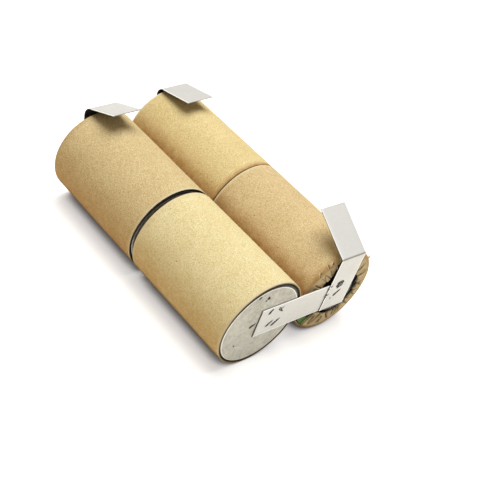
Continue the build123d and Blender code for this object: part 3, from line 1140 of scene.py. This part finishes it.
def strip_tree() -> GeometryTree:
    """Sweeps a strip's rounded section along its path, with a faint unevenness from rolling and handling."""
    tree = GeometryTree("strip_sweep")
    for name in ("Width", "Thickness", "Edge Radius", "Waviness", "Seed"):
        tree.input(name, "Float")
    tree.input("Across", "Vector")
    tree.input("Material", "Material")
    path = tree.node("GeometryNodeMeshToCurve", {}, {"Mesh": tree.given("Geometry")}).outputs[0]
    inputs = {"Curve": path, "Normal": tree.given("Across")}
    path = tree.node("GeometryNodeSetCurveNormal", {"mode": "FREE"}, inputs).outputs[0]
    path = tree.stored(path, "run", tree.node("GeometryNodeSplineParameter").outputs["Length"])
    inputs = {"Width": tree.given("Width"), "Height": tree.given("Thickness")}
    section = tree.node("GeometryNodeCurvePrimitiveQuadrilateral", {"mode": "RECTANGLE"}, inputs).outputs[0]
    inputs = {"Curve": section, "Count": 3, "Radius": tree.given("Edge Radius")}
    rounded = tree.node("GeometryNodeFilletCurve", {"mode": "POLY"}, inputs).outputs[0]
    profile = tree.node("GeometryNodeSubdivideCurve", {}, {"Curve": rounded, "Cuts": 5}).outputs[0]
    place = tree.node("GeometryNodeInputPosition").outputs[0]
    parts = tree.node("ShaderNodeSeparateXYZ", {}, {0: place})
    for name, axis, size in (("across", "X", "Width"), ("rise", "Y", "Thickness")):
        half = tree.math("MULTIPLY", tree.given(size), 0.5)
        profile = tree.stored(profile, name, tree.math("DIVIDE", parts.outputs[axis], half))
    inputs = {"Curve": path, "Profile Curve": profile, "Fill Caps": True}
    swept = tree.node("GeometryNodeCurveToMesh", {}, inputs).outputs[0]
    inputs = {"Vector": place, "W": tree.given("Seed"), "Scale": 330.0, "Detail": 1.0}
    noise = tree.node("ShaderNodeTexNoise", {"noise_dimensions": "4D"}, inputs).outputs[0]
    level = tree.math("MULTIPLY", tree.math("SUBTRACT", noise, 0.5), tree.given("Waviness"))
    inputs = {"Geometry": swept, "Offset": tree.stretched(tree.vector("face"), level)}
    tree.close(tree.node("GeometryNodeSetPosition", {}, inputs).outputs[0])
    return tree


def scatter_tree() -> GeometryTree:
    """Sets a small shape at each point, turned as the point's own attributes say."""
    tree = GeometryTree("scatter")
    for name, kind in (("Shape", "Object"), ("Material", "Material"), ("Seed", "Int"), ("Spread", "Float")):
        tree.input(name, kind)
    inputs = {"Object": tree.given("Shape")}
    shape = tree.node("GeometryNodeObjectInfo", {"transform_space": "ORIGINAL"}, inputs)
    inputs = {"Vector": tree.vector("aim")}
    faced = tree.node("FunctionNodeAlignRotationToVector", {"axis": "Z"}, inputs).outputs[0]
    settings = {"axis": "X", "pivot_axis": "Z"}
    inputs = {"Rotation": faced, "Vector": tree.vector("turn")}
    rolled = tree.node("FunctionNodeAlignRotationToVector", settings, inputs).outputs[0]
    inputs = {0: (-1.0, -1.0, -1.0), 1: (1.0, 1.0, 1.0), "Seed": tree.given("Seed")}
    jitter = tree.node("FunctionNodeRandomValue", {"data_type": "FLOAT_VECTOR"}, inputs).outputs[0]
    inputs = {"Rotation": rolled, "Rotate By": tree.stretched(jitter, tree.given("Spread"))}
    bent = tree.node("FunctionNodeRotateRotation", {"rotation_space": "LOCAL"}, inputs).outputs[0]
    inputs = {
        "Points": tree.given("Geometry"),
        "Instance": shape.outputs["Geometry"],
        "Rotation": bent,
        "Scale": tree.vector("size"),
    }
    tree.close(tree.node("GeometryNodeInstanceOnPoints", {}, inputs).outputs[0])
    return tree


def scattered(
    name: str,
    shape: bpy.types.Object,
    material: bpy.types.Material,
    tree: GeometryTree,
    places: Array,
    seed: int,
    spread: float,
    **vectors: Array,
) -> bpy.types.Object:
    """Sets a shape at each of many places and then removes the shape itself.

    Args:
        name: The piece's name.
        shape: What is set there.
        material: Its material.
        tree: The tree that sets it.
        places: The places, in mm.
        seed: Which random turns.
        spread: The largest random turn, in radians.
        vectors: Each place's aim, turn and size.

    Returns:
        The piece.
    """
    mesh = new_mesh(f"{name}_points", places)
    for key, values in vectors.items():
        write_vectors(mesh, key, values)
    piece = tree.run(name, mesh, {"Shape": shape, "Material": material, "Seed": seed, "Spread": spread})
    bpy.data.objects.remove(shape)
    return piece


# --- Strip, tabs and their welds ---


@dataclass(frozen=True)
class Sweep:
    """How every strip is swept: its section and its faint waviness."""

    width: float = 8.0
    thickness: float = 0.2
    edge_radius: float = 0.05
    waviness: float = 0.05

    def build(
        self,
        name: str,
        path: Array,
        facings: Array,
        across: Vector,
        workshop: Workshop,
        tree: GeometryTree,
        seed: float,
    ) -> bpy.types.Object:
        """Sweeps a strip along a path.

        Args:
            name: The piece's name.
            path: The strip's middle line, in mm.
            facings: The direction that the strip faces at each point of the path.
            across: Direction of its width.
            workshop: Where its material comes from.
            tree: The tree that sweeps it.
            seed: Which waviness.

        Returns:
            The strip.
        """
        mesh = new_mesh(f"{name}_path", path, edges=[(index, index + 1) for index in range(len(path) - 1)])
        write_vectors(mesh, "face", facings)
        values = {
            "Width": self.width * MM,
            "Thickness": self.thickness * MM,
            "Edge Radius": self.edge_radius * MM,
            "Waviness": self.waviness * MM,
            "Across": tuple(across),
            "Seed": seed,
            "Material": workshop.material(Finish.STRIP),
        }
        piece = tree.run(name, mesh, values)
        self._face_outwards(piece, path, facings)
        return piece

    @staticmethod
    def _face_outwards(piece: bpy.types.Object, path: Array, facings: Array) -> None:
        """Turns the rise across the strip's thickness so that 1 is the face that looks outwards."""
        places = read_places(piece) / MM
        rise, run = read_attribute(piece, "rise"), read_attribute(piece, "run") / MM
        nearest = np.searchsorted(np.cumsum(np.linalg.norm(np.diff(path, axis=0), axis=1)), run)
        offset = ((places - path[nearest]) * facings[nearest]).sum(axis=1)
        if (offset * rise).sum() < 0:
            write_attribute(piece, "rise", -rise)


@dataclass(frozen=True)
class WeldMark:
    """One spot weld's scar: its place across and up and its size, in mm, and its slant, in degrees."""

    x: float
    z: float
    length: float
    width: float
    slant: float


@dataclass
class WeldScars:
    """The spot welds on one face: shallow rimmed craters, scorched where the electrode sat.

    The marks' places are taken from middle_x, and radius_share is a crater's radius along and across as
    a share of its mark's length and width.
    """

    name: str
    face_y: float
    outward: int
    marks: tuple[WeldMark, ...]
    finish: Finish = Finish.STRIP
    middle_x: float = 0.0
    radius_share: tuple[float, float] = (0.62, 0.74)
    spokes: int = 26
    depth: float = 0.055

    def build(self, workshop: Workshop, tree: GeometryTree) -> bpy.types.Object:
        """Makes the craters.

        Args:
            workshop: Where the material comes from.
            tree: The tree that sets them in place.

        Returns:
            The piece.
        """
        slants = [math.radians(mark.slant) for mark in self.marks]
        long, wide = self.radius_share
        piece = scattered(
            self.name,
            self._crater(),
            workshop.material(self.finish),
            tree,
            np.array([(self.middle_x + mark.x, self.face_y, mark.z) for mark in self.marks]),
            seed=3,
            spread=0.0,
            aim=np.tile((0.0, float(self.outward), 0.0), (len(self.marks), 1)),
            turn=np.array([(math.cos(slant), 0.0, math.sin(slant)) for slant in slants]),
            size=np.array([(mark.length * long, mark.width * wide, 1.0) for mark in self.marks]),
        )
        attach(piece, "pack")
        return piece

    def _crater(self) -> bpy.types.Object:
        """A closed, lens-thin crater of radius 1 mm with a raised, ragged rim."""
        # Each ring's radius, its height and how scorched it is.
        rings = (
            (0.3, 0.006, 0.5), (0.55, 0.014, 0.9), (0.72, 0.03, 0.85), (0.86, 0.026, 0.42), (1.0, 0.0, 0.0),
        )
        points = [(0.0, 0.0, 0.004), (0.0, 0.0, -self.depth)]
        scorch = [0.3, 0.0]
        for radius, height, darkness in rings:
            for spoke in range(self.spokes):
                angle = TURN * spoke / self.spokes
                ragged = 1 + 0.13 * math.sin(3 * angle + 1.1) + 0.08 * math.sin(5 * angle)
                ragged += 0.06 * math.sin(9 * angle)
                reach = radius * (ragged if radius > 0.5 else 1.0)
                points.append((reach * math.cos(angle), reach * math.sin(angle), height))
                scorch.append(darkness)
        faces = disc_faces(len(rings), self.spokes, 2)
        last = 2 + (len(rings) - 1) * self.spokes
        faces += [(last + (spoke + 1) % self.spokes, last + spoke, 1) for spoke in range(self.spokes)]
        shape = in_scene(f"{self.name}_crater", new_mesh(f"{self.name}_crater", points, faces))
        set_attribute(shape, "scorch", np.array(scorch))
        return shape


@dataclass
class CrossStrip:
    """The flat strip that joins the two front terminals, with painted shade on its sheared left end."""

    sweep: Sweep = Sweep()
    stations: int = 120
    end_shade: float = 0.8

    def build(self, workshop: Workshop, tree: GeometryTree) -> bpy.types.Object:
        """Makes the strip in its solid's place.

        Args:
            workshop: Where its material comes from.
            tree: The tree that sweeps it.

        Returns:
            The strip.
        """
        low, high = (np.array(corner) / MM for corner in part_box("cross_strip"))
        middle = (low + high) / 2
        along = np.linspace(low[0], high[0], self.stations)
        path = np.stack([along, np.full_like(along, middle[1]), np.full_like(along, middle[2])], axis=1)
        facings = np.tile((0.0, -1.0, 0.0), (len(path), 1))
        piece = self.sweep.build("cross_strip_sheet", path, facings, Vector((0, 0, 1)), workshop, tree, 1.5)
        # Painted shade on the strip's left end.
        set_attribute(piece, "shade", self.end_shade * (read_attribute(piece, "run") / MM < 0.01))
        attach(piece, "pack")
        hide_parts("cross_strip")
        return piece


@dataclass
class SolderTab:
    """A tab in one piece of strip: a pad on the terminal, a foot that leans out, a bend and a flag."""

    name: str
    outward: int
    lean: float
    bend_radius: float
    flag_length: float
    flag_angle: float
    seed: float
    hinge_radius: float = 0.9
    hinge_reach: float = 0.35
    # Painted shade along the bend, on its inner face and on the cut sides; painted light on the flag.
    crease_line: float = 0.0
    inner_shade: float = 0.0
    edge_shade: float = 0.0
    painted_light: float = 0.0
    twist: float = 0.0
    twist_between: tuple[float, float] = (2.0, 6.0)
    overhang: float = 0.0
    lean_height: float = 5.2
    lean_radius: float = 3.0
    sweep: Sweep = Sweep()

    def build(self, workshop: Workshop, tree: GeometryTree) -> bpy.types.Object:
        """Makes the tab, from its pad on the terminal to its flag's tip.

        Args:
            workshop: Where its material comes from.
            tree: The tree that sweeps it.

        Returns:
            The tab.
        """
        path, facings = self._path()
        across = Vector((1, 0, 0))
        piece = self.sweep.build(f"{self.name}_strip", path, facings, across, workshop, tree, self.seed)
        crease = self._crease()
        self._darken(piece, path, crease)
        self._twist(piece)
        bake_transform(piece)
        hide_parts(f"{self.name}_foot", f"{self.name}_flag")
        return piece

    def _twist(self, piece: bpy.types.Object) -> None:
        """Slants the flag a little across its width, as it was left by hand."""
        places = read_places(piece)
        low, high = (CELL_AXIS[1] + self.lean_height + above for above in self.twist_between)
        level = smoothstep(places[:, 2] / MM, low, high)
        places[:, 2] += self.twist * (places[:, 0] - places[:, 0].mean()) * level
        piece.data.vertices.foreach_set("co", places.ravel())
        piece.data.update()

    def _darken(self, piece: bpy.types.Object, path: Array, crease: Array) -> None:
        """Paints shade along the bend, on the inner face about the bend, on the sides near it and on the cut
        sides, and paints light on the flag past the bend.
        """
        lengths = np.concatenate([[0], np.cumsum(np.linalg.norm(np.diff(path, axis=0), axis=1))])
        fold = lengths[np.argmin(np.linalg.norm(path - crease, axis=1))]
        run = read_attribute(piece, "run") / MM - fold
        rise = read_attribute(piece, "rise")
        line = self.crease_line * bump(run, 0.16)
        inner = self.inner_shade * smoothstep(run, -7.0, -4.0) * (1 - 0.45 * smoothstep(run, 1.5, 7.0))
        inner = inner * smoothstep(rise, -0.2, -0.8)
        side = self.inner_shade * smoothstep(np.abs(run), 2.2, 1.2) * smoothstep(rise, 0.9, 0.4)
        cut_edge = self.edge_shade * (np.abs(read_attribute(piece, "across")) > 0.999)
        set_attribute(piece, "painted_light", self.painted_light * smoothstep(run, 0.1, 0.5))
        set_attribute(piece, "shade", largest(line, cut_edge, inner, side))

    def _crease(self) -> Array:
        """The hinge's place, in mm."""
        joint = next(item for item in frame["joints"] if item["child"] == self.name)
        return np.array(joint["pos_m"], float) / MM

    def _path(self) -> tuple[Array, Array]:
        """The tab's middle line from the pad's lower end to the flag's tip, and the way it faces."""
        low, high = (np.array(corner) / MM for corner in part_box(f"{self.name}_foot"))
        middle_x = (low[0] + high[0]) / 2
        half = self.sweep.thickness / 2
        pad_y = high[1] - half if self.outward < 0 else low[1] + half
        crease = self._crease()
        base = np.array((0.0, low[2]))
        tilt = math.radians(self.flag_angle)
        flag = np.array((-math.cos(tilt), math.sin(tilt)))
        corner = self._corner(pad_y, crease, flag) - flag * self.overhang
        tip = corner + flag * (self.flag_length + self.overhang)
        if self.lean > 0:
            corners = [base, np.array((0.0, self._lean_level())), corner, tip]
            radii = [self.lean_radius, self.bend_radius]
        else:
            corners = [base, corner, tip]
            radii = [self.bend_radius]
        flat = rounded_path(corners, radii, 0.12)
        path = np.stack([np.full(len(flat), middle_x), pad_y + self.outward * flat[:, 0], flat[:, 1]], axis=1)
        tangent = np.gradient(flat, axis=0)
        tangent /= np.linalg.norm(tangent, axis=1)[:, None]
        facings = np.stack([np.zeros(len(flat)), self.outward * tangent[:, 1], -tangent[:, 0]], axis=1)
        return path, facings

    def _lean_level(self) -> float:
        """Height at which the foot starts to lean out."""
        low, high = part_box("rear_left_can")
        return (low.z + high.z) / 2 / MM + self.lean_height

    def _corner(self, pad_y: float, crease: Array, flag: Array) -> Array:
        """The sharp corner that the bend rounds, found from the middle of the bend's arc.

        Args:
            pad_y: The pad's middle plane.
            crease: The hinge's place.
            flag: Direction of the flag, out of the terminal and up.

        Returns:
            The corner, as distance out of the pad's plane and height.
        """
        middle = np.array(((crease[1] - pad_y) * self.outward, crease[2]))
        rising = np.array((0.0, 1.0))
        # A leaning foot's direction depends on the corner, so the two are found in turn.
        for _ in range(12):
            turn = math.acos(float(np.clip(rising @ flag, -1, 1)))
            inward = (flag - rising) / np.linalg.norm(flag - rising)
            corner = middle - inward * self.hinge_radius * (1 / math.cos(turn / 2) - 1)
            if self.lean > 0:
                rising = corner - np.array((0.0, self._lean_level()))
                rising /= np.linalg.norm(rising)
        return corner


def rounded_path(corners: Sequence[Array], radii: Sequence[float], spacing: float) -> Array:
    """A path through corners, each rounded by an arc.

    Args:
        corners: The path's corners, in a plane.
        radii: Radius at each inner corner.
        spacing: Distance between points on the straight runs, in mm.

    Returns:
        Points along the path.
    """
    points: list[Array] = [corners[0]]
    for before, corner, after, radius in zip(corners, corners[1:], corners[2:], radii):
        come = (corner - before) / np.linalg.norm(corner - before)
        leave = (after - corner) / np.linalg.norm(after - corner)
        turn = math.acos(float(np.clip(come @ leave, -1, 1)))
        trim = radius * math.tan(turn / 2)
        start, end = corner - come * trim, corner + leave * trim
        points.extend(spaced(points[-1], start, spacing))
        inward = (leave - come) / np.linalg.norm(leave - come)
        centre = corner + inward * radius / math.cos(turn / 2)
        side = 1.0 if come[0] * leave[1] - come[1] * leave[0] > 0 else -1.0
        steps = max(6, int(turn / math.radians(6)))
        first = start - centre
        for step in range(1, steps + 1):
            angle = side * turn * step / steps
            cos, sin = math.cos(angle), math.sin(angle)
            points.append(centre + np.array(((cos, -sin), (sin, cos))) @ first)
        points[-1] = end
    points.extend(spaced(points[-1], corners[-1], spacing))
    return np.array(points)


def spaced(start: Array, end: Array, spacing: float) -> list[Array]:
    """Points after start up to end, about evenly spaced."""
    count = max(1, round(float(np.linalg.norm(end - start)) / spacing))
    return [start + (end - start) * step / count for step in range(1, count + 1)]


# --- Loose fibres ---


@dataclass(frozen=True)
class Tuft:
    """Loose fibres at one torn place of a tube."""

    angle: float
    back: float
    count: int
    length: float
    spread: float


@dataclass
class LooseFibres:
    """Paper fibres that stand out of the torn places of a tube."""

    tube: PaperTube
    tufts: tuple[Tuft, ...]
    thickness: float = 0.035
    root_depth: float = 0.3
    disorder: float = 0.5
    seed: int = 7

    def build(self, workshop: Workshop, tree: GeometryTree) -> bpy.types.Object:
        """Makes the fibres.

        Args:
            workshop: Where their material comes from.
            tree: The tree that sets them in place.

        Returns:
            The piece.
        """
        draw = np.random.default_rng(self.seed)
        places, aims, turns, sizes = [], [], [], []
        for tuft in self.tufts:
            for _ in range(tuft.count):
                angle = math.radians(tuft.angle) + draw.normal(0, tuft.spread / self.tube.radius)
                back = tuft.back + draw.normal(0, tuft.spread * 0.6)
                outward = np.array((math.cos(angle), 0.0, math.sin(angle)))
                level = self.tube.open_y + self.tube.forward * (self.tube.length - abs(back))
                radius = self.tube.radius - self.root_depth
                place = self.tube.axis_x + outward[0] * radius, level, self.tube.axis_z + outward[2] * radius
                places.append(place)
                aims.append(outward + np.array((0.0, self.tube.forward * draw.uniform(-0.2, 0.9), 0.0)))
                turns.append(draw.normal(0, 1, 3))
                sizes.append((1.0, 1.0, tuft.length * draw.uniform(0.4, 1.0)))
        piece = scattered(
            f"{self.tube.cell}_loose_fibres",
            self._fibre(),
            workshop.material(Finish.FIBRE),
            tree,
            np.array(places),
            seed=self.seed,
            spread=self.disorder,
            aim=np.array(aims),
            turn=np.array(turns),
            size=np.array(sizes),
        )
        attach(piece, "pack")
        return piece

    def _fibre(self) -> bpy.types.Object:
        """A thin curled fibre, 1 mm long, closed at both ends."""
        sides, steps = 4, 6
        points, faces = [], []
        for step in range(steps + 1):
            share = step / steps
            thin = self.thickness * (1 - 0.6 * share)
            middle = (0.3 * share**2, 0.12 * math.sin(share * 4), share)
            for side in range(sides):
                angle = TURN * side / sides
                edge = thin * math.cos(angle), thin * math.sin(angle)
                points.append((middle[0] + edge[0], middle[1] + edge[1], middle[2]))
        for step in range(steps):
            for side in range(sides):
                low, high = step * sides, (step + 1) * sides
                following = (side + 1) % sides
                faces.append((low + side, low + following, high + following, high + side))
        faces.append(tuple(reversed(range(sides))))
        faces.append(tuple(steps * sides + side for side in range(sides)))
        return in_scene("fibre", new_mesh("fibre", points, faces))


# --- Carried-over solids ---


@dataclass(frozen=True)
class MetalParts:
    """Gives every solid that stays its finish."""

    finishes: tuple[tuple[str, Finish], ...] = (
        ("_can", Finish.CAN),
        ("_cap", Finish.CAP),
        ("_cover_plate", Finish.COVER),
        ("_negative_collector", Finish.COLLECTOR),
        ("_positive_collector", Finish.COLLECTOR),
        ("_gasket", Finish.GASKET),
        ("_washer", Finish.WASHER),
        ("_vent_plug", Finish.PLUG),
        ("_separator", Finish.FLEECE),
        ("_positive_plate", Finish.POSITIVE),
        ("_negative_plate", Finish.NEGATIVE),
        ("_paper_tube", Finish.FIBRE),
        ("strip", Finish.STRIP),
        ("_link", Finish.STRIP),
        ("_foot", Finish.STRIP),
        ("_flag", Finish.STRIP),
    )

    def dress(self, workshop: Workshop) -> int:
        """Assigns the materials.

        Args:
            workshop: Where they come from.

        Returns:
            How many solids were dressed.
        """
        for name, solid in frame["nodes"].items():
            finish = next(finish for ending, finish in self.finishes if name.endswith(ending))
            material = workshop.material(finish)
            if not solid.material_slots:
                solid.data.materials.append(material)
            for slot in solid.material_slots:
                slot.material = material
        return len(frame["nodes"])


# --- Studio ---


@dataclass(frozen=True)
class Studio:
    """A white floor under a large soft lamp, with a camera above the pack's left front corner."""

    aim: tuple[float, float, float] = (3.9, -10.6, 7.4)
    distance: float = 237.2
    azimuth: float = -53.61
    elevation: float = 37.06
    roll: float = 21.36
    lens: float = 70.84
    floor_radius: float = 2.5
    floor_level: float = -0.05
    floor_glow: float = 0.5
    nook_reach: float = 4.5
    sky: float = 0.26
    lamp_power: float = 12.2
    lamp_size: float = 0.9
    lamp_place: tuple[float, float, float] = (0.1, 0.2, 1.05)

    def build(self) -> None:
        """Makes the floor, the lights and the camera."""
        self._floor()
        self._sky()
        self._lamp()
        self._camera()
        bpy.context.scene.view_settings.view_transform = "Standard"

    def _floor(self) -> None:
        """A wide white disc that keeps the pack's shadow."""
        rings, spokes = 12, 96
        reach = self.floor_radius / MM
        radii = np.concatenate([[0.02], np.geomspace(0.03, 1, rings - 1)]) * reach
        points = [(0.0, 0.0, self.floor_level)]
        for radius in radii:
            for spoke in range(spokes):
                angle = TURN * spoke / spokes
                points.append((radius * math.cos(angle), radius * math.sin(angle), self.floor_level))
        mesh = new_mesh("floor", points, disc_faces(rings, spokes, 1))
        floor = in_scene("floor", mesh)
        mesh.materials.append(self._floor_material())

    def _floor_material(self) -> bpy.types.Material:
        """White card that shows a plain white where nothing shades it, with a painted contact shadow round
        the pack.
        """
        graph = Graph("white_card")
        grain = graph.noise(1.5, 2, 0.5)
        seen = graph.seen()
        card = graph.mix(seen, srgb(238, 222, 196), srgb(246, 246, 243))
        across, along = graph.coordinate("X"), graph.coordinate("Y")
        away = ((across * across + along * along) ** 0.5).step(0.1, 0.6)
        # Painted contact shadow: where the pack closes the floor in, the camera sees the card darker and
        # without its glow.
        nook = graph.node("ShaderNodeAmbientOcclusion", {"samples": 24}, {"Distance": self.nook_reach * MM})
        open_floor = Value(graph, nook.outputs["AO"]).step(0.12, 0.56)
        card = graph.shade(card, (1 + grain * 0.01) * (1 - seen * (1 - open_floor) * 0.6))
        glow = seen * open_floor * (self.floor_glow + away * (1 - self.floor_glow))
        graph.feed(Base_Color=card, Roughness=0.9, Specular_IOR_Level=0.0)
        graph.feed(Emission_Color=graph.shade((0.985, 1.0, 1.03, 1.0), glow), Emission_Strength=1.0)
        return graph.material

    def _sky(self) -> None:
        """A white backdrop that lights the pack at a plain level."""
        world = bpy.data.worlds.new("studio")
        world.use_nodes = True
        bpy.context.scene.world = world
        tree = NodeTree(world.node_tree)
        inputs = {"Color": (1.0, 0.87, 0.72, 1.0), "Strength": self.sky}
        light = tree.node("ShaderNodeBackground", {}, inputs).outputs[0]
        inputs = {"Color": (1.0, 1.0, 1.0, 1.0), "Strength": 1.0}
        backdrop = tree.node("ShaderNodeBackground", {}, inputs).outputs[0]
        mixed = tree.node("ShaderNodeMixShader", {}, {0: tree.seen(), 1: light, 2: backdrop}).outputs[0]
        tree.node("ShaderNodeOutputWorld", {}, {"Surface": mixed})

    def _lamp(self) -> None:
        """One large soft lamp above and behind the pack's right side."""
        lamp = bpy.data.lights.new("softbox", "AREA")
        lamp.shape = "SQUARE"
        lamp.size = self.lamp_size
        lamp.energy = self.lamp_power
        lamp.color = (1.0, 0.995, 0.985)
        holder = in_scene("softbox", lamp)
        place = Vector(self.lamp_place)
        holder.location = place
        holder.rotation_mode = "QUATERNION"
        holder.rotation_quaternion = place.to_track_quat("Z", "Y")

    def _camera(self) -> None:
        """The camera, rolled as it was held."""
        lens = bpy.data.cameras.new("camera")
        lens.lens = self.lens
        lens.sensor_width = 36.0
        lens.clip_start = 0.01
        lens.clip_end = 20.0
        camera = in_scene("camera", lens)
        azimuth, elevation = math.radians(self.azimuth), math.radians(self.elevation)
        flat = math.cos(elevation)
        back = Vector((math.sin(azimuth) * flat, -math.cos(azimuth) * flat, math.sin(elevation)))
        level = Vector((math.cos(azimuth), math.sin(azimuth), 0.0))
        rise = back.cross(level)
        roll = math.radians(self.roll)
        right = level * math.cos(roll) + rise * math.sin(roll)
        up = rise * math.cos(roll) - level * math.sin(roll)
        turn = Matrix((right, up, back)).transposed().to_4x4()
        aim = Vector(self.aim) * MM
        camera.matrix_world = Matrix.Translation(aim + back * self.distance * MM) @ turn
        bpy.context.scene.camera = camera


# --- The pack ---


def weld_marks(*rows: tuple[float, float, float, float, float]) -> tuple[WeldMark, ...]:
    """Marks from rows of x, z, length, width and slant."""
    return tuple(WeldMark(*row) for row in rows)


CROSS_STRIP_MARKS = weld_marks(
    (-10.6, 14.7, 1.5, 0.55, 61), (-10.2, 15.1, 0.6, 0.35, 20), (-7.6, 14.5, 1.3, 0.55, -50),
    (-7.0, 13.9, 1.2, 0.35, -42), (-7.0, 14.7, 0.9, 0.3, 25), (-9.6, 10.7, 2.0, 0.5, 39),
    (-8.9, 11.2, 0.7, 0.35, 60), (-7.6, 10.4, 2.4, 0.6, 35), (-7.0, 10.9, 0.9, 0.5, 15),
)
MID_TAB_MARKS = weld_marks(
    (10.7, 16.1, 1.2, 0.6, 25), (11.8, 16.0, 1.1, 0.7, -30), (10.5, 15.3, 0.9, 0.7, 80),
    (11.9, 15.1, 1.0, 0.55, 60), (11.1, 14.7, 1.2, 0.55, 15), (11.1, 15.5, 0.6, 0.5, 0),
    (11.0, 12.5, 1.4, 0.6, 44), (11.8, 13.1, 1.2, 0.5, 36), (8.3, 15.7, 0.7, 0.4, 50),
    (7.8, 14.9, 0.35, 0.3, 0), (8.1, 13.1, 0.7, 0.4, 40), (7.7, 12.4, 0.4, 0.3, 10),
    (9.8, 11.5, 0.4, 0.3, 30),
)
CAN_MARKS = weld_marks(
    (-14.9, 12.0, 1.7, 0.55, 27), (-15.3, 11.6, 0.6, 0.4, 70), (-13.1, 19.6, 1.0, 0.6, -50),
    (-13.6, 19.0, 0.5, 0.35, -20), (-16.0, 20.7, 0.8, 0.5, 30), (-18.5, 7.2, 0.45, 0.35, 0),
)
POSITIVE_TAB_MARKS = weld_marks(
    (-1.5, 14.6, 1.2, 0.8, 30), (1.6, 14.4, 1.0, 0.9, 10),
    (-1.4, 10.6, 1.3, 0.7, 50), (1.5, 10.9, 1.1, 0.8, -20),
)
NEGATIVE_TAB_MARKS = weld_marks(
    (-1.6, 14.5, 1.1, 0.8, -15), (1.5, 14.7, 1.3, 0.7, 40),
    (-1.5, 10.8, 1.2, 0.9, 20), (1.6, 10.5, 1.0, 0.8, 60),
)


class BatteryPack:
    """The dressed pack: its paper tubes, strip, tabs, welds and carried-over solids."""

    def __init__(self) -> None:
        """Sets out the pack's parts."""
        self.workshop = Workshop()
        self.front_right = PaperTube(
            "front_right", Paper.FRONT_RIGHT, True, 31, shoulder=0.95, columns=600, pleats=19, scores=36,
            shoulder_soil=0.45, mouth_shade=1.0, pale_rim=0.02, behind_tab=(7.7, 15.5, 8.4, 23.4),
            fold_edge=(
                (-170, 6.7), (-115, 6.3), (-97, 6.7), (-65, 7.8), (-37, 8.3),
                (-9, 8.3), (12, 7.8), (32, 6.8), (60, 6.9), (120, 7.0),
            ),
            gone=(-168, -128),
            tears=(
                Tear(100.0, -0.8, 1.3, 0.15, -18.0, 0.5, 0.26),
                Tear(104.5, -0.7, 1.1, 0.13, 16.0, 0.42, 0.26),
                Tear(118.0, -0.7, 1.3, 0.16, 65.0, 0.46, 0.28),
                Tear(123.0, -0.5, 0.9, 0.12, 20.0, 0.34, 0.22),
                Tear(137.0, -0.7, 1.1, 0.15, 60.0, 0.4, 0.24),
            ),
        )
        self.tubes = (
            PaperTube(
                "front_left", Paper.FRONT_LEFT, False, 11, shoulder=0.4, columns=360, fold_face_shade=1.0,
                shoulder_highlight=1.0,
            ),
            PaperTube(
                "rear_left", Paper.REAR_LEFT, False, 21, shoulder=0.4, columns=480, mouth_shade=1.0,
                pale_rim=0.13,
            ),
            self.front_right,
            PaperTube(
                "rear_right", Paper.REAR_RIGHT, True, 41, shoulder=0.5, columns=360, shoulder_soil=0.8,
                fold_face_shade=1.0,
            ),
        )
        self.tabs = (
            SolderTab(
                "mid_tab", -1, 0.0, 0.2, 12.5, 31.3, 2.5, hinge_radius=0.2, crease_line=0.5, edge_shade=1.0,
                painted_light=0.2,
            ),
            SolderTab(
                "positive_tab", 1, 1.1, 2.6, 10.9, 23.7, 3.5, hinge_reach=1.3, inner_shade=1.0, twist=0.065,
                overhang=0.65,
            ),
            SolderTab(
                "negative_tab", 1, 1.05, 2.3, 11.8, 13.7, 4.5, hinge_reach=1.3, inner_shade=1.0, twist=0.075,
                overhang=0.5,
            ),
        )

    def build(self) -> None:
        """Makes every piece and reports it."""
        LOG.info("dressed %d solids", MetalParts().dress(self.workshop))
        for tube in self.tubes:
            self._report(tube.build(self.workshop))
        sweeps, scatter = strip_tree(), scatter_tree()
        self._report(CrossStrip().build(self.workshop, sweeps))
        for tab in self.tabs:
            self._report(tab.build(self.workshop, sweeps))
        for scars in self._scars():
            self._report(scars.build(self.workshop, scatter))
        fibres = LooseFibres(
            self.front_right,
            (
                Tuft(43.0, 0.5, 24, 1.0, 0.2),
                Tuft(119.0, 0.15, 14, 0.6, 0.15),
                Tuft(100.5, 0.15, 12, 0.55, 0.12),
                Tuft(136.0, 0.15, 12, 0.55, 0.12),
            ),
        )
        self._report(fibres.build(self.workshop, scatter))

    @staticmethod
    def _scars() -> tuple[WeldScars, ...]:
        """The spot welds on each strip and on the front can."""
        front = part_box("cross_strip")[0].y / MM
        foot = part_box("mid_tab_foot")[0].y / MM
        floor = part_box("front_left_can")[0].y / MM
        rear_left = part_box("positive_tab_foot")[0].y / MM + Sweep.thickness
        rear_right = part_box("negative_tab_foot")[0].y / MM + Sweep.thickness
        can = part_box("rear_left_can")
        left_x = (can[0].x + can[1].x) / 2 / MM
        return (
            WeldScars("cross_strip_welds", front, -1, CROSS_STRIP_MARKS),
            WeldScars("mid_tab_welds", foot, -1, MID_TAB_MARKS),
            WeldScars("can_scars", floor, -1, CAN_MARKS, Finish.CAN),
            WeldScars("positive_tab_welds", rear_left, 1, POSITIVE_TAB_MARKS, middle_x=left_x),
            WeldScars("negative_tab_welds", rear_right, 1, NEGATIVE_TAB_MARKS, middle_x=-left_x),
        )

    @staticmethod
    def _report(piece: bpy.types.Object) -> None:
        """Logs a piece and its size."""
        LOG.info("%s: %d points, %d faces", piece.name, len(piece.data.vertices), len(piece.data.polygons))


def main() -> None:
    """Builds the studio and the pack."""
    logging.basicConfig(level=logging.INFO, format="%(message)s")
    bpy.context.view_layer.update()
    Studio().build()
    BatteryPack().build()


if __name__ == "__main__":
    main()
